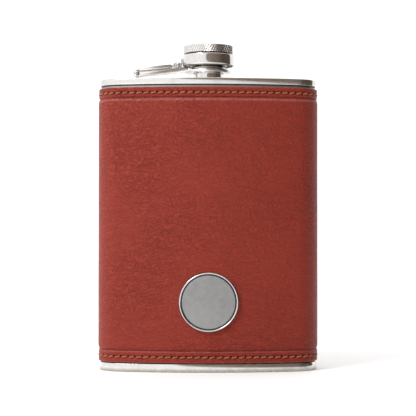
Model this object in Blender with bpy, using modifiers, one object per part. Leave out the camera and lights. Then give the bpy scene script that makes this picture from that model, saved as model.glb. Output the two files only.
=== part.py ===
"""Leather-covered hip flask with a captive screw cap.

Metres, +Z up, front (convex side) towards -Y.  The origin is under the middle of the flask, on the surface
that it stands on.
"""
import math

import bmesh
import bpy
from mathutils import Matrix, Vector

# ---- body: a flat bottle whose section is bowed round the hip ----
BODY_HEIGHT = 0.1260          # foot to shoulder
BOW_RADIUS = 0.1390           # radius of the section's middle line
END_CENTRE_X = 0.0358         # where the bowed part ends and the round ends start
SHELL_HALF = 0.0110           # middle line to the outside of the steel sleeve
SHELL_WALL = 0.0006
BOW_STEPS = 12                # facets along the front and along the back
END_STEPS = 14                # facets round each end

# ---- pans that close the sleeve ----
PAN_WALL = 0.00055
PAN_FIT = 0.0001              # sleeve to pan
RIM_HEIGHT = 0.0030           # skirt of the top pan
FOOT_RIM_HEIGHT = 0.0031      # skirt of the base pan
PLATE_THICKNESS = 0.0007
RIM_ROUND = 0.0008            # rounded edge of the shoulder
FOOT_ROUND = 0.0006           # rounded edge of the foot
ROUND_STEPS = 2
FOOT_WIDTH = 0.0020           # skirt to the recess in the base
BASE_RECESS = 0.0018          # foot to the recessed bottom

# ---- leather sleeve ----
HEM_THICKNESS = 0.0009        # leather turned in and pressed
CREASE_THICKNESS = 0.00065
LEATHER_THICKNESS = 0.0006
PADDING_THICKNESS = 0.0004
LEATHER_FIT = 0.0001          # between the sleeve, the padding and the leather
LEATHER_GAP_TOP = 0.00095     # bare steel between the leather and the top rim
LEATHER_GAP_BOTTOM = 0.0008
STITCH_INSET = 0.00245        # edge of the leather to the row of stitches
CREASE_INSET = 0.0047         # edge of the leather to the pressed crease
PANEL_RISE = 0.0013           # height over which the panel swells beside the crease
HEM_ROUND = 0.0002
STITCH_GROOVE = 0.0004        # depth of the groove that the thread lies in
STITCH_GROOVE_HALF = 0.0004
THREAD_RADIUS = 0.00022
THREAD_FIT = 0.00006

# ---- medallion ----
MEDALLION_Z = 0.0300
BEZEL_RADIUS = 0.0127
BEZEL_WALL = 0.0007
BEZEL_FLOOR = 0.0003          # tray behind the disc
BEZEL_STAND = 0.0014          # front of the bezel off the leather
DISC_RECESS = 0.0003
DISC_THICKNESS = 0.0005
DISC_FIT = 0.0001
BEZEL_SKIRT = 0.0016          # thick edge of the tray, round the adhesive pad
PAD_FIT = 0.00005

# ---- neck, heights above the shoulder ----
NECK_RADIUS = 0.0064
NECK_WALL = 0.0012
NECK_LIP = 0.0004             # plain lip above the thread
NECK_FLANGE_MARGIN = 0.0014    # flange under the plate to the inside of the sleeve
NECK_FLANGE_THICKNESS = 0.0008
NECK_FIT = 0.0001             # neck to the hole and the underside of the plate
BEAD_STAND = 0.0011           # how far the bead stands out of the neck
BEAD_HEIGHT = 0.0015

# ---- round-form thread ----
THREAD_PITCH = 0.0016
THREAD_DEPTH = 0.0006
THREAD_PLAY = 0.0002          # neck thread to cap thread
THREAD_START = 0.00125        # bottom of the insert to the thread
THREAD_LENGTH = 0.0042
THREAD_FADE = 0.0004
CAP_TURNS = 2.5               # turns that free the cap
ROWS_PER_PITCH = 8
NECK_STEPS = 24

# ---- screw cap ----
HEAD_WALL = 0.0027            # wall of the head round the insert
HEAD_CROWN = 0.0017           # thickness of the head over the insert
HEAD_GAP = 0.0004             # head over the band
HEAD_EDGE = 0.0003
KNURL_TEETH = 30
KNURL_DEPTH = 0.0002
INSERT_WALL = 0.0010
INSERT_GAP = 0.00025          # insert over the bead
INSERT_FLANGE = 0.0012        # how far the flange that holds the band stands out
INSERT_FLANGE_THICKNESS = 0.0006
SEAL_THICKNESS = 0.0010
CAP_FIT = 0.0001              # between pieces of the cap that sit on each other
FLANGE_ROOM = 0.0011          # flange of the insert to the inside of the band
BAND_WALL = 0.0008
BAND_GAP = 0.0001             # band over the top of the bead
BAND_HEIGHT = 0.0049
BAND_PLAY = 0.0002            # band round the insert
BAND_EDGE = 0.0002

# ---- arm that holds the cap, on the left of the neck ----
ARM_LENGTH = 0.0180           # between the two pins, along X
FAR_PIN_Z = 0.0026
NEAR_PIN_RISE = 0.0006        # near pin over the foot of the band
NEAR_PIN_STAND = 0.0017       # near pin off the band
KNUCKLE_RADIUS = 0.00175
FAR_PIN_RADIUS = 0.0006
NEAR_PIN_RADIUS = 0.00045
PIN_PLAY = 0.00008
PIN_HEAD = 0.0004             # thickness of a rivet head
PIN_HEAD_WIDER = 0.0005       # rivet head radius over the pin's radius
PIN_HEAD_EDGE = 0.0002
ARM_WIDTH = 0.0050
ARM_SHEET = 0.0007
ARM_SLOPE = math.radians(5.5)
LOWER_ARM_HEIGHT = 0.0022
UPPER_ARM_HEIGHT = 0.0015
ARM_GAP = 0.0002              # upper arm over lower arm
ARM_ROOT = 0.0020             # far pin to the start of the channels
TONGUE_HALF = 0.0009          # half width of the upper arm's knuckle and eye
TONGUE_PLAY = 0.0002
LEAF_HALF = 0.0008            # half width of the strips that join the knuckle and the eye to the channel
TONGUE_THICKNESS = 0.0010
EYE_RADIUS = 0.00095
RING_WIDTH = 0.00325
RING_PLAY = 0.00025           # arm's ring round the neck
RING_LOW = 0.0028
RING_THICKNESS = 0.0012
RING_END_PLAY = 0.0002        # ring under the bead
RING_LAP = 0.0011             # channel of the lower arm over the ring
EAR_SHEET = 0.0005
LUG_THICKNESS = 0.0009
LUG_HALF_HEIGHT = 0.0010
LUG_ROOM = 0.00065            # lugs to the upper arm's channel
SLOT_PLAY = 0.00012
EAR_RISE = 0.0034             # back plate of the ear over the foot of the band

# ---- worked out from the sizes above ----
BOW_ANGLE = math.asin(END_CENTRE_X / BOW_RADIUS)
BOW_SAG = BOW_RADIUS * (1 - math.cos(BOW_ANGLE))
GLUED_HALF = SHELL_HALF + LEATHER_FIT
OVER_PADDING = GLUED_HALF + PADDING_THICKNESS + LEATHER_FIT
HEM_HALF = GLUED_HALF + HEM_THICKNESS
CREASE_HALF = GLUED_HALF + CREASE_THICKNESS
PANEL_HALF = OVER_PADDING + LEATHER_THICKNESS
PAD_RADIUS = BEZEL_RADIUS - BEZEL_SKIRT - DISC_FIT
FRONT_DEPTH = PANEL_HALF + BEZEL_STAND
BACK_DEPTH = BOW_SAG + PANEL_HALF
MIDDLE_Y = (FRONT_DEPTH - BACK_DEPTH) / 2
AXIS = Vector((0, MIDDLE_Y, BODY_HEIGHT))
PAN_INNER = SHELL_HALF + PAN_FIT
PAN_OUTER = PAN_INNER + PAN_WALL
NECK_BORE = NECK_RADIUS - NECK_WALL
NECK_FLANGE_RADIUS = SHELL_HALF - SHELL_WALL - NECK_FLANGE_MARGIN
BEAD_RADIUS = NECK_RADIUS + BEAD_STAND
INSERT_BORE = NECK_RADIUS + THREAD_DEPTH + THREAD_PLAY
INSERT_RADIUS = INSERT_BORE + INSERT_WALL
HEAD_RADIUS = INSERT_RADIUS + HEAD_WALL
BAND_RADIUS = INSERT_RADIUS + INSERT_FLANGE + FLANGE_ROOM + BAND_WALL
CAP_LIFT = CAP_TURNS * THREAD_PITCH
BEAD_LOW = RING_LOW + RING_THICKNESS + RING_END_PLAY
BEAD_TOP = BEAD_LOW + BEAD_HEIGHT
BAND_LOW = BEAD_TOP + BAND_GAP
INSERT_LOW = BEAD_TOP + INSERT_GAP
THREAD_LOW = INSERT_LOW + THREAD_START
NECK_HEIGHT = THREAD_LOW + THREAD_LENGTH + NECK_LIP
INSERT_TOP = NECK_HEIGHT + CAP_FIT + SEAL_THICKNESS
HEAD_LOW = BAND_LOW + BAND_HEIGHT + HEAD_GAP
HEAD_TOP = INSERT_TOP + CAP_FIT + HEAD_CROWN
NEAR_PIN_Z = BAND_LOW + NEAR_PIN_RISE
RING_BORE = NECK_RADIUS + RING_PLAY
RING_RADIUS = RING_BORE + RING_WIDTH
NEAR_PIN_X = -BAND_RADIUS - NEAR_PIN_STAND
FAR_PIN_X = NEAR_PIN_X - ARM_LENGTH
ARM_REACH = math.hypot(ARM_LENGTH, NEAR_PIN_Z - FAR_PIN_Z)
SLOT_LENGTH = ARM_LENGTH - math.sqrt(ARM_REACH ** 2 - (NEAR_PIN_Z - FAR_PIN_Z + CAP_LIFT) ** 2)
SLOT_END_X = NEAR_PIN_X - SLOT_LENGTH
LOWER_ARM_START = FAR_PIN_X + ARM_ROOT
LOWER_ARM_END = RING_LAP - RING_RADIUS
UPPER_ARM_END = SLOT_END_X - LUG_HALF_HEIGHT - LUG_ROOM
ROUND_CUT_STEPS = 16          # facets of a hole or a pin
SMOOTH_ANGLE = math.radians(35)


# ---- helpers ----
def clear_scene():
    for thing in list(bpy.data.objects):
        bpy.data.objects.remove(thing, do_unlink=True)


def new_collection(name):
    collection = bpy.data.collections.new(name)
    bpy.context.scene.collection.children.link(collection)
    return collection


def new_material(name, colour, roughness, metallic=0.0):
    material = bpy.data.materials.new(name)
    material.use_nodes = True
    shader = material.node_tree.nodes["Principled BSDF"]
    shader.inputs["Base Color"].default_value = (*colour, 1.0)
    shader.inputs["Roughness"].default_value = roughness
    shader.inputs["Metallic"].default_value = metallic
    return material


def add_object(name, data, collection, material=None):
    thing = bpy.data.objects.new(name, data)
    collection.objects.link(thing)
    if material:
        data.materials.append(material)
    return thing


def round_shading(mesh):
    mesh.shade_smooth()
    mesh.set_sharp_from_angle(angle=SMOOTH_ANGLE)


def section(half):
    """The bowed section's outline at one distance from its middle line, anticlockwise from the left front."""
    points = []
    outer = BOW_RADIUS + half
    inner = BOW_RADIUS - half
    for i in range(BOW_STEPS):
        angle = BOW_ANGLE * (2 * i / BOW_STEPS - 1)
        points.append((outer * math.sin(angle), BOW_RADIUS - outer * math.cos(angle)))
    end_y = BOW_SAG
    for i in range(END_STEPS):
        angle = BOW_ANGLE - math.pi / 2 + math.pi * i / END_STEPS
        points.append((END_CENTRE_X + half * math.cos(angle), end_y + half * math.sin(angle)))
    for i in range(BOW_STEPS):
        angle = BOW_ANGLE * (1 - 2 * i / BOW_STEPS)
        points.append((inner * math.sin(angle), BOW_RADIUS - inner * math.cos(angle)))
    for i in range(END_STEPS):
        angle = math.pi / 2 - BOW_ANGLE + math.pi * i / END_STEPS
        points.append((-END_CENTRE_X + half * math.cos(angle), end_y + half * math.sin(angle)))
    return points


def rounded(half, height, radius, up):
    """Levels that round an outer edge, from its side to its flat; up is 1 at a top edge and -1 at a foot."""
    levels = []
    for i in range(ROUND_STEPS + 1):
        angle = math.pi / 2 * i / ROUND_STEPS
        levels.append((half - radius * (1 - math.cos(angle)),
                       height - up * radius * (1 - math.sin(angle))))
    return levels


def lofted(name, levels, collection, material, capped):
    """Skin a stack of (half, height) sections; a stack that isn't capped closes on its first section."""
    bm = bmesh.new()
    rings = []
    for half, height in levels:
        rings.append([bm.verts.new((x, y, height)) for x, y in section(half)])
    joins = list(zip(rings, rings[1:]))
    if capped:
        bm.faces.new(rings[0])
        bm.faces.new(rings[-1])
    else:
        joins.append((rings[-1], rings[0]))
    count = len(rings[0])
    for low, high in joins:
        for i in range(count):
            j = (i + 1) % count
            bm.faces.new((low[i], low[j], high[j], high[i]))
    bmesh.ops.recalc_face_normals(bm, faces=bm.faces)
    mesh = bpy.data.meshes.new(name)
    bm.to_mesh(mesh)
    bm.free()
    round_shading(mesh)
    thing = add_object(name, mesh, collection, material)
    thing.location.y = MIDDLE_Y
    return thing


def turned(name, profile, collection, material, steps, closed):
    """Spin a (radius, height) profile that runs down its outer side; a closed one is a ring."""
    mesh = bpy.data.meshes.new(name)
    count = len(profile)
    edges = [(i, i + 1) for i in range(count - 1)]
    if closed:
        edges.append((count - 1, 0))
    mesh.from_pydata([(radius, 0, height) for radius, height in profile], edges, [])
    thing = add_object(name, mesh, collection, material)
    spin = thing.modifiers.new("Spin", "SCREW")
    spin.angle = 2 * math.pi
    spin.steps = steps
    spin.render_steps = steps
    spin.use_merge_vertices = True
    spin.merge_threshold = 1e-6
    spin.use_smooth_shade = True
    return thing


def make_mesh(thing):
    """Replace an object's data by what its modifiers make of it."""
    graph = bpy.context.evaluated_depsgraph_get()
    mesh = bpy.data.meshes.new_from_object(thing.evaluated_get(graph))
    old = thing.data
    thing.modifiers.clear()
    thing.data = mesh
    bpy.data.meshes.remove(old)
    mesh.name = thing.name
    return mesh


def box(name, low, high, collection, slope=0.0, pivot=(0, 0, 0)):
    """A box between two corners, tilted about +Y round a pivot so that its +X end rises by the slope."""
    bm = bmesh.new()
    bmesh.ops.create_cube(bm, size=1)
    low = Vector(low)
    high = Vector(high)
    size = high - low
    middle = (low + high) / 2
    bmesh.ops.scale(bm, vec=size, verts=bm.verts)
    bmesh.ops.translate(bm, vec=middle, verts=bm.verts)
    turn = Matrix.Rotation(-slope, 3, "Y")
    bmesh.ops.rotate(bm, cent=pivot, matrix=turn, verts=bm.verts)
    mesh = bpy.data.meshes.new(name)
    bm.to_mesh(mesh)
    bm.free()
    return add_object(name, mesh, collection)


def slab(name, outline, low_y, high_y, collection):
    """An (x, z) outline, drawn out along Y."""
    bm = bmesh.new()
    face = bm.faces.new([bm.verts.new((x, low_y, z)) for x, z in outline])
    grown = bmesh.ops.extrude_face_region(bm, geom=[face])
    moved = [item for item in grown["geom"] if isinstance(item, bmesh.types.BMVert)]
    bmesh.ops.translate(bm, vec=(0, high_y - low_y, 0), verts=moved)
    bmesh.ops.recalc_face_normals(bm, faces=bm.faces)
    mesh = bpy.data.meshes.new(name)
    bm.to_mesh(mesh)
    bm.free()
    return add_object(name, mesh, collection)


def half_round(x, z, radius, facing):
    """Points of a half circle that bulges along X, from its low end to its high end or back."""
    points = []
    for i in range(ROUND_CUT_STEPS // 2 + 1):
        angle = -math.pi / 2 + 2 * math.pi * i / ROUND_CUT_STEPS
        points.append((x + facing * radius * math.cos(angle), z + facing * radius * math.sin(angle)))
    return points


def cross_cylinder(name, x, z, radius, low_y, high_y, collection):
    """A cylinder that lies along Y."""
    bm = bmesh.new()
    bmesh.ops.create_cone(bm, cap_ends=True, segments=ROUND_CUT_STEPS, radius1=radius, radius2=radius,
                          depth=high_y - low_y)
    bmesh.ops.rotate(bm, cent=(0, 0, 0), matrix=Matrix.Rotation(math.pi / 2, 3, "X"), verts=bm.verts)
    bmesh.ops.translate(bm, vec=(x, (low_y + high_y) / 2, z), verts=bm.verts)
    mesh = bpy.data.meshes.new(name)
    bm.to_mesh(mesh)
    bm.free()
    return add_object(name, mesh, collection)


def combine(thing, tool, operation):
    """Join a tool to a piece or cut it away; the tool stays as a hidden guide."""
    step = thing.modifiers.new(tool.name, "BOOLEAN")
    step.operation = operation
    step.solver = "EXACT"
    step.object = tool
    tool.hide_render = True
    tool.display_type = "WIRE"


def put(thing, parent, place=(0, 0, 0)):
    thing.parent = parent
    thing.location = place


def new_empty(name, place, collection):
    empty = bpy.data.objects.new(name, None)
    empty.empty_display_size = 0.005
    empty.location = place
    collection.objects.link(empty)
    return empty


# ---- container ----
def make_body_shell(collection, steel):
    low = PLATE_THICKNESS + PAN_FIT
    high = BODY_HEIGHT - PLATE_THICKNESS - 5 * PAN_FIT
    inner = SHELL_HALF - SHELL_WALL
    levels = [(SHELL_HALF, low), (SHELL_HALF, high), (inner, high), (inner, low)]
    lofted("body_shell", levels, collection, steel, capped=False)


def make_top_plate(collection, cutters, steel):
    skirt = BODY_HEIGHT - RIM_HEIGHT
    under = BODY_HEIGHT - PLATE_THICKNESS
    levels = [
        (PAN_INNER - PAN_FIT * 2, under),
        (PAN_INNER, under - PAN_FIT * 3),
        (PAN_INNER, skirt),
        (PAN_OUTER, skirt),
    ]
    levels += rounded(PAN_OUTER, BODY_HEIGHT, RIM_ROUND, 1)
    plate = lofted("top_plate", levels, collection, steel, capped=True)
    radius = NECK_RADIUS + NECK_FIT
    reach = 2 * PLATE_THICKNESS
    hole = turned("cut_neck_hole", [(0, reach), (radius, reach), (radius, -reach), (0, -reach)],
                  cutters, None, NECK_STEPS * 2, closed=False)
    hole.location = AXIS
    combine(plate, hole, "DIFFERENCE")


def make_base_plate(collection, steel):
    riser_out = PAN_OUTER - FOOT_WIDTH
    riser_in = riser_out + PAN_WALL
    ease = PAN_WALL / 2
    web_top = BASE_RECESS + PLATE_THICKNESS
    levels = [
        (riser_in - ease, web_top),
        (riser_in, web_top - ease),
        (riser_in, PLATE_THICKNESS),
        (PAN_INNER, PLATE_THICKNESS),
        (PAN_INNER, FOOT_RIM_HEIGHT),
        (PAN_OUTER, FOOT_RIM_HEIGHT),
    ]
    levels += rounded(PAN_OUTER, 0, FOOT_ROUND, -1)
    levels += [
        (riser_out + ease, 0),
        (riser_out, ease),
        (riser_out, BASE_RECESS - ease),
        (riser_out - ease, BASE_RECESS),
    ]
    lofted("base_plate", levels, collection, steel, capped=True)


# ---- leather ----
def leather_edges():
    low = FOOT_RIM_HEIGHT + LEATHER_GAP_BOTTOM
    high = BODY_HEIGHT - RIM_HEIGHT - LEATHER_GAP_TOP
    return low, high


def hem_levels(edge, inward):
    """Outer levels of one hem, from the leather's edge to the padded panel."""
    groove = HEM_HALF - STITCH_GROOVE
    stitch = edge + inward * STITCH_INSET
    crease = edge + inward * CREASE_INSET
    side = inward * STITCH_GROOVE_HALF
    lean = inward * HEM_ROUND / 4
    return [
        (HEM_HALF - HEM_ROUND, edge),
        (HEM_HALF, edge + inward * HEM_ROUND),
        (HEM_HALF, stitch - side - lean),
        (groove, stitch - side),
        (groove, stitch + side),
        (HEM_HALF, stitch + side + lean),
        (HEM_HALF, crease - inward * PANEL_RISE / 2),
        (CREASE_HALF, crease),
        (PANEL_HALF, crease + inward * PANEL_RISE),
    ]


def make_leather_wrap(collection, leather):
    low, high = leather_edges()
    step_low = low + CREASE_INSET + PANEL_RISE
    step_high = high - CREASE_INSET - PANEL_RISE
    lining = [
        (GLUED_HALF, high),
        (GLUED_HALF, step_high + PADDING_THICKNESS),
        (OVER_PADDING, step_high - PADDING_THICKNESS),
        (OVER_PADDING, step_low + PADDING_THICKNESS),
        (GLUED_HALF, step_low - PADDING_THICKNESS),
        (GLUED_HALF, low),
    ]
    levels = hem_levels(low, 1) + hem_levels(high, -1)[::-1] + lining
    lofted("leather_wrap", levels, collection, leather, capped=False)


def make_padding(collection, foam):
    low, high = leather_edges()
    margin = CREASE_INSET + PANEL_RISE + 2 * PADDING_THICKNESS
    outer = GLUED_HALF + PADDING_THICKNESS
    low += margin
    high -= margin
    levels = [(outer, low), (outer, high), (GLUED_HALF, high), (GLUED_HALF, low)]
    lofted("wrap_padding", levels, collection, foam, capped=False)


def make_stitching(name, height, collection, thread):
    centre = HEM_HALF - STITCH_GROOVE + THREAD_FIT + THREAD_RADIUS
    curve = bpy.data.curves.new(name, "CURVE")
    curve.dimensions = "3D"
    spline = curve.splines.new("POLY")
    points = section(centre)
    spline.points.add(len(points) - 1)
    for point, (x, y) in zip(spline.points, points):
        point.co = (x, y, 0, 1)
    spline.use_cyclic_u = True
    curve.bevel_depth = THREAD_RADIUS
    curve.bevel_resolution = 1
    thing = add_object(name, curve, collection, thread)
    thing.location = (0, MIDDLE_Y, height)


# ---- medallion ----
def leather_sag(x):
    """How far the padded front lies behind its foremost line."""
    radius = BOW_RADIUS + PANEL_HALF
    return radius - math.sqrt(radius ** 2 - x ** 2)


def fit_back(mesh, gap):
    """Bend the back of a medallion piece, which faces along +Z, to the leather."""
    for vertex in mesh.vertices:
        if vertex.co.z < gap * 1.5:
            vertex.co.z = gap - leather_sag(vertex.co.x)


def hang_medallion(thing):
    thing.rotation_euler.x = math.pi / 2
    thing.location = (0, MIDDLE_Y - PANEL_HALF, MEDALLION_Z)


def make_medallion(collection, steel, brushed, glue):
    disc_front = BEZEL_STAND - DISC_RECESS
    disc_back = disc_front - DISC_THICKNESS
    floor_front = disc_back - DISC_FIT
    floor_back = floor_front - BEZEL_FLOOR
    inner = BEZEL_RADIUS - BEZEL_WALL
    pad_hole = PAD_RADIUS + DISC_FIT
    profile = [
        (0, floor_front),
        (inner, floor_front),
        (inner, BEZEL_STAND - DISC_FIT),
        (inner + DISC_FIT, BEZEL_STAND),
        (BEZEL_RADIUS - 2 * DISC_FIT, BEZEL_STAND),
        (BEZEL_RADIUS, BEZEL_STAND - 2 * DISC_FIT),
        (BEZEL_RADIUS, PAD_FIT),
        (pad_hole, PAD_FIT),
        (pad_hole, floor_back),
        (0, floor_back),
    ]
    bezel = turned("medallion_bezel", profile, collection, steel, 48, closed=False)
    fit_back(make_mesh(bezel), PAD_FIT)
    round_shading(bezel.data)
    hang_medallion(bezel)

    disc_radius = inner - DISC_FIT
    profile = [(0, disc_front), (disc_radius, disc_front), (disc_radius, disc_back), (0, disc_back)]
    disc = turned("medallion_disc", profile, collection, brushed, 48, closed=False)
    hang_medallion(disc)

    pad_front = floor_back - PAD_FIT
    profile = [(0, pad_front), (PAD_RADIUS, pad_front), (PAD_RADIUS, PAD_FIT), (PAD_RADIUS / 2, PAD_FIT),
               (0, PAD_FIT)]
    pad = turned("medallion_pad", profile, collection, glue, 48, closed=False)
    fit_back(make_mesh(pad), PAD_FIT)
    hang_medallion(pad)


# ---- neck and thread ----
def thread_rows():
    """Heights of the rows of the thread, from the top down."""
    step = THREAD_PITCH / ROWS_PER_PITCH
    count = round(THREAD_LENGTH / step)
    return [THREAD_LOW + THREAD_LENGTH - i * THREAD_LENGTH / count for i in range(count + 1)]


def thread_wave(angle, height):
    """Height of the thread's form, from 0 in the root to 1 at the crest, with faded ends."""
    turns = height / THREAD_PITCH - angle / (2 * math.pi)
    wave = 0.5 - 0.5 * math.cos(2 * math.pi * turns)
    ends = min(height - THREAD_LOW, THREAD_LOW + THREAD_LENGTH - height) / THREAD_FADE
    return wave, max(0.0, min(1.0, ends))


def cut_thread(mesh, base, inside):
    """Push the rows at the base radius out or in to a helical thread."""
    for vertex in mesh.vertices:
        x, y, z = vertex.co
        radius = math.hypot(x, y)
        in_rows = THREAD_LOW - 1e-6 < z < THREAD_LOW + THREAD_LENGTH + 1e-6
        if abs(radius - base) > 1e-5 or not in_rows:
            continue
        wave, fade = thread_wave(math.atan2(y, x), z)
        if inside:
            grown = base - THREAD_DEPTH * fade * (1 - wave)
        else:
            grown = base + THREAD_DEPTH * fade * wave
        vertex.co.x = x * grown / radius
        vertex.co.y = y * grown / radius


def make_neck(collection, steel):
    flange_top = -PLATE_THICKNESS - NECK_FIT
    flange_low = flange_top - NECK_FLANGE_THICKNESS
    lip = (NECK_RADIUS - NECK_BORE) / 6
    bead_middle = (BEAD_LOW + BEAD_TOP) / 2
    bead = []
    for i in range(7):
        angle = math.pi / 2 - math.pi * i / 6
        bead.append((NECK_RADIUS + (BEAD_RADIUS - NECK_RADIUS) * math.cos(angle),
                     bead_middle + BEAD_HEIGHT / 2 * math.sin(angle)))
    profile = [(NECK_BORE, NECK_HEIGHT), (NECK_RADIUS - lip, NECK_HEIGHT), (NECK_RADIUS, NECK_HEIGHT - lip)]
    profile += [(NECK_RADIUS, height) for height in thread_rows()]
    profile += bead
    profile += [
        (NECK_RADIUS, flange_top),
        (NECK_FLANGE_RADIUS, flange_top),
        (NECK_FLANGE_RADIUS, flange_low),
        (NECK_BORE, flange_low),
    ]
    neck = turned("neck", profile, collection, steel, NECK_STEPS, closed=True)
    cut_thread(make_mesh(neck), NECK_RADIUS, inside=False)
    round_shading(neck.data)
    neck.location = AXIS


# ---- screw cap ----
def knurl(mesh):
    """Push every second column of the grip in."""
    for vertex in mesh.vertices:
        x, y, z = vertex.co
        if abs(math.hypot(x, y) - HEAD_RADIUS) > 1e-6:
            continue
        column = round(math.atan2(y, x) / math.pi * KNURL_TEETH)
        if column % 2:
            vertex.co.x *= 1 - KNURL_DEPTH / HEAD_RADIUS
            vertex.co.y *= 1 - KNURL_DEPTH / HEAD_RADIUS


def make_cap_head(collection, steel, axis):
    pocket = INSERT_RADIUS + CAP_FIT
    ceiling = INSERT_TOP + CAP_FIT
    edge = HEAD_RADIUS - HEAD_EDGE
    profile = [
        (0, HEAD_TOP),
        (edge, HEAD_TOP),
        (HEAD_RADIUS, HEAD_TOP - HEAD_EDGE),
        (HEAD_RADIUS, HEAD_LOW + HEAD_EDGE),
        (edge, HEAD_LOW),
        (pocket, HEAD_LOW),
        (pocket, ceiling),
        (0, ceiling),
    ]
    head = turned("cap_head", profile, collection, steel, KNURL_TEETH * 2, closed=False)
    knurl(make_mesh(head))
    round_shading(head.data)
    put(head, axis)


def make_cap_insert(collection, steel, axis):
    seal_pocket = INSERT_BORE + CAP_FIT
    web_low = BAND_LOW + BAND_HEIGHT - BAND_WALL
    flange_top = web_low - CAP_FIT
    flange_low = flange_top - INSERT_FLANGE_THICKNESS
    flange = INSERT_RADIUS + INSERT_FLANGE
    step = NECK_HEIGHT - CAP_FIT
    profile = [
        (seal_pocket, INSERT_TOP),
        (INSERT_RADIUS, INSERT_TOP),
        (INSERT_RADIUS, flange_top),
        (flange, flange_top),
        (flange, flange_low),
        (INSERT_RADIUS, flange_low),
        (INSERT_RADIUS, INSERT_LOW),
        (INSERT_BORE, INSERT_LOW),
    ]
    profile += [(INSERT_BORE, height) for height in thread_rows()[::-1]]
    profile += [(INSERT_BORE, step), (seal_pocket, step)]
    insert = turned("cap_insert", profile, collection, steel, NECK_STEPS, closed=True)
    cut_thread(make_mesh(insert), INSERT_BORE, inside=True)
    round_shading(insert.data)
    put(insert, axis)


def make_cap_seal(collection, rubber):
    low = NECK_HEIGHT + CAP_FIT
    profile = [(0, low + SEAL_THICKNESS), (INSERT_BORE, low + SEAL_THICKNESS), (INSERT_BORE, low), (0, low)]
    seal = turned("cap_seal", profile, collection, rubber, NECK_STEPS, closed=False)
    seal.location = AXIS


def make_cap_band(collection, steel, axis):
    top = BAND_LOW + BAND_HEIGHT
    bore = INSERT_RADIUS + BAND_PLAY
    inner = BAND_RADIUS - BAND_WALL
    profile = [
        (bore, top),
        (BAND_RADIUS - BAND_EDGE, top),
        (BAND_RADIUS, top - BAND_EDGE),
        (BAND_RADIUS, BAND_LOW + BAND_EDGE),
        (BAND_RADIUS - BAND_EDGE, BAND_LOW),
        (inner, BAND_LOW),
        (inner, top - BAND_WALL),
        (bore, top - BAND_WALL),
    ]
    band = turned("cap_band", profile, collection, steel, 48, closed=True)
    put(band, axis)


def make_band_ear(collection, cutters, steel, axis):
    lug_in = TONGUE_HALF + TONGUE_PLAY
    lug_out = lug_in + LUG_THICKNESS
    plate_x = -BAND_RADIUS - CAP_FIT
    low = NEAR_PIN_Z - LUG_HALF_HEIGHT
    high = NEAR_PIN_Z + LUG_HALF_HEIGHT
    root = plate_x - EAR_SHEET / 2
    ear = box("band_ear", (plate_x - EAR_SHEET, -lug_out, low), (plate_x, lug_out, BAND_LOW + EAR_RISE),
              collection)
    ear.data.materials.append(steel)
    nose = half_round(SLOT_END_X, NEAR_PIN_Z, LUG_HALF_HEIGHT, -1)
    for side, name in ((1, "right"), (-1, "left")):
        near, far = sorted((side * lug_in, side * lug_out))
        lug = slab("join_lug_" + name, [(root, low), (root, high)] + nose, near, far, cutters)
        combine(ear, lug, "UNION")
    slot = NEAR_PIN_RADIUS + SLOT_PLAY
    outline = half_round(SLOT_END_X, NEAR_PIN_Z, slot, -1) + half_round(NEAR_PIN_X, NEAR_PIN_Z, slot, 1)
    combine(ear, slab("cut_slot", outline, -ARM_WIDTH, ARM_WIDTH, cutters), "DIFFERENCE")
    make_tools_follow(ear, axis)
    put(ear, axis)


def make_tools_follow(thing, axis):
    """Place a piece's joining and cutting tools on the same axis as the piece."""
    for step in thing.modifiers:
        if step.type == "BOOLEAN":
            step.object.parent = axis


# ---- arm ----
def slope_rise(x):
    """Rise of the arm's slope at x, from its start."""
    return (x - LOWER_ARM_START) * math.tan(ARM_SLOPE)


def make_lower_arm(collection, cutters, steel, axis):
    top = RING_LOW + RING_THICKNESS
    profile = [(RING_BORE, top), (RING_RADIUS, top), (RING_RADIUS, RING_LOW), (RING_BORE, RING_LOW)]
    arm = turned("lower_arm", profile, collection, steel, 40, closed=True)
    half = ARM_WIDTH / 2
    low = FAR_PIN_Z - LOWER_ARM_HEIGHT / 2 - ARM_GAP / 2
    high = low + LOWER_ARM_HEIGHT
    start = (LOWER_ARM_START, 0, low)
    length = (LOWER_ARM_END - LOWER_ARM_START) / math.cos(ARM_SLOPE)
    root = LOWER_ARM_START - ARM_SHEET * 2
    bar = box("join_lower_bar", (root, -half, low), (LOWER_ARM_START + length, half, high), cutters,
              ARM_SLOPE, start)
    combine(arm, bar, "UNION")
    gap = TONGUE_HALF + TONGUE_PLAY
    for side, name in ((1, "right"), (-1, "left")):
        near, far = sorted((side * TONGUE_HALF, side * half))
        knuckle = cross_cylinder("join_lower_knuckle_" + name, FAR_PIN_X, FAR_PIN_Z, KNUCKLE_RADIUS, near,
                                 far, cutters)
        combine(arm, knuckle, "UNION")
    channel = half - ARM_SHEET
    trough = box("cut_trough", (LOWER_ARM_START - ARM_SHEET, -channel, low + ARM_SHEET),
                 (LOWER_ARM_START + length + ARM_SHEET, channel, high + ARM_SHEET), cutters, ARM_SLOPE, start)
    combine(arm, trough, "DIFFERENCE")
    room = box("cut_tongue_room", (FAR_PIN_X - KNUCKLE_RADIUS * 2, -gap, -KNUCKLE_RADIUS),
               (LOWER_ARM_START + ARM_SHEET / 2, gap, FAR_PIN_Z + KNUCKLE_RADIUS * 2), cutters)
    combine(arm, room, "DIFFERENCE")
    pin_hole = cross_cylinder("cut_far_pin_hole", FAR_PIN_X, FAR_PIN_Z, FAR_PIN_RADIUS + PIN_PLAY, -ARM_WIDTH,
                              ARM_WIDTH, cutters)
    combine(arm, pin_hole, "DIFFERENCE")
    make_tools_follow(arm, axis)
    put(arm, axis)


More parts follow.
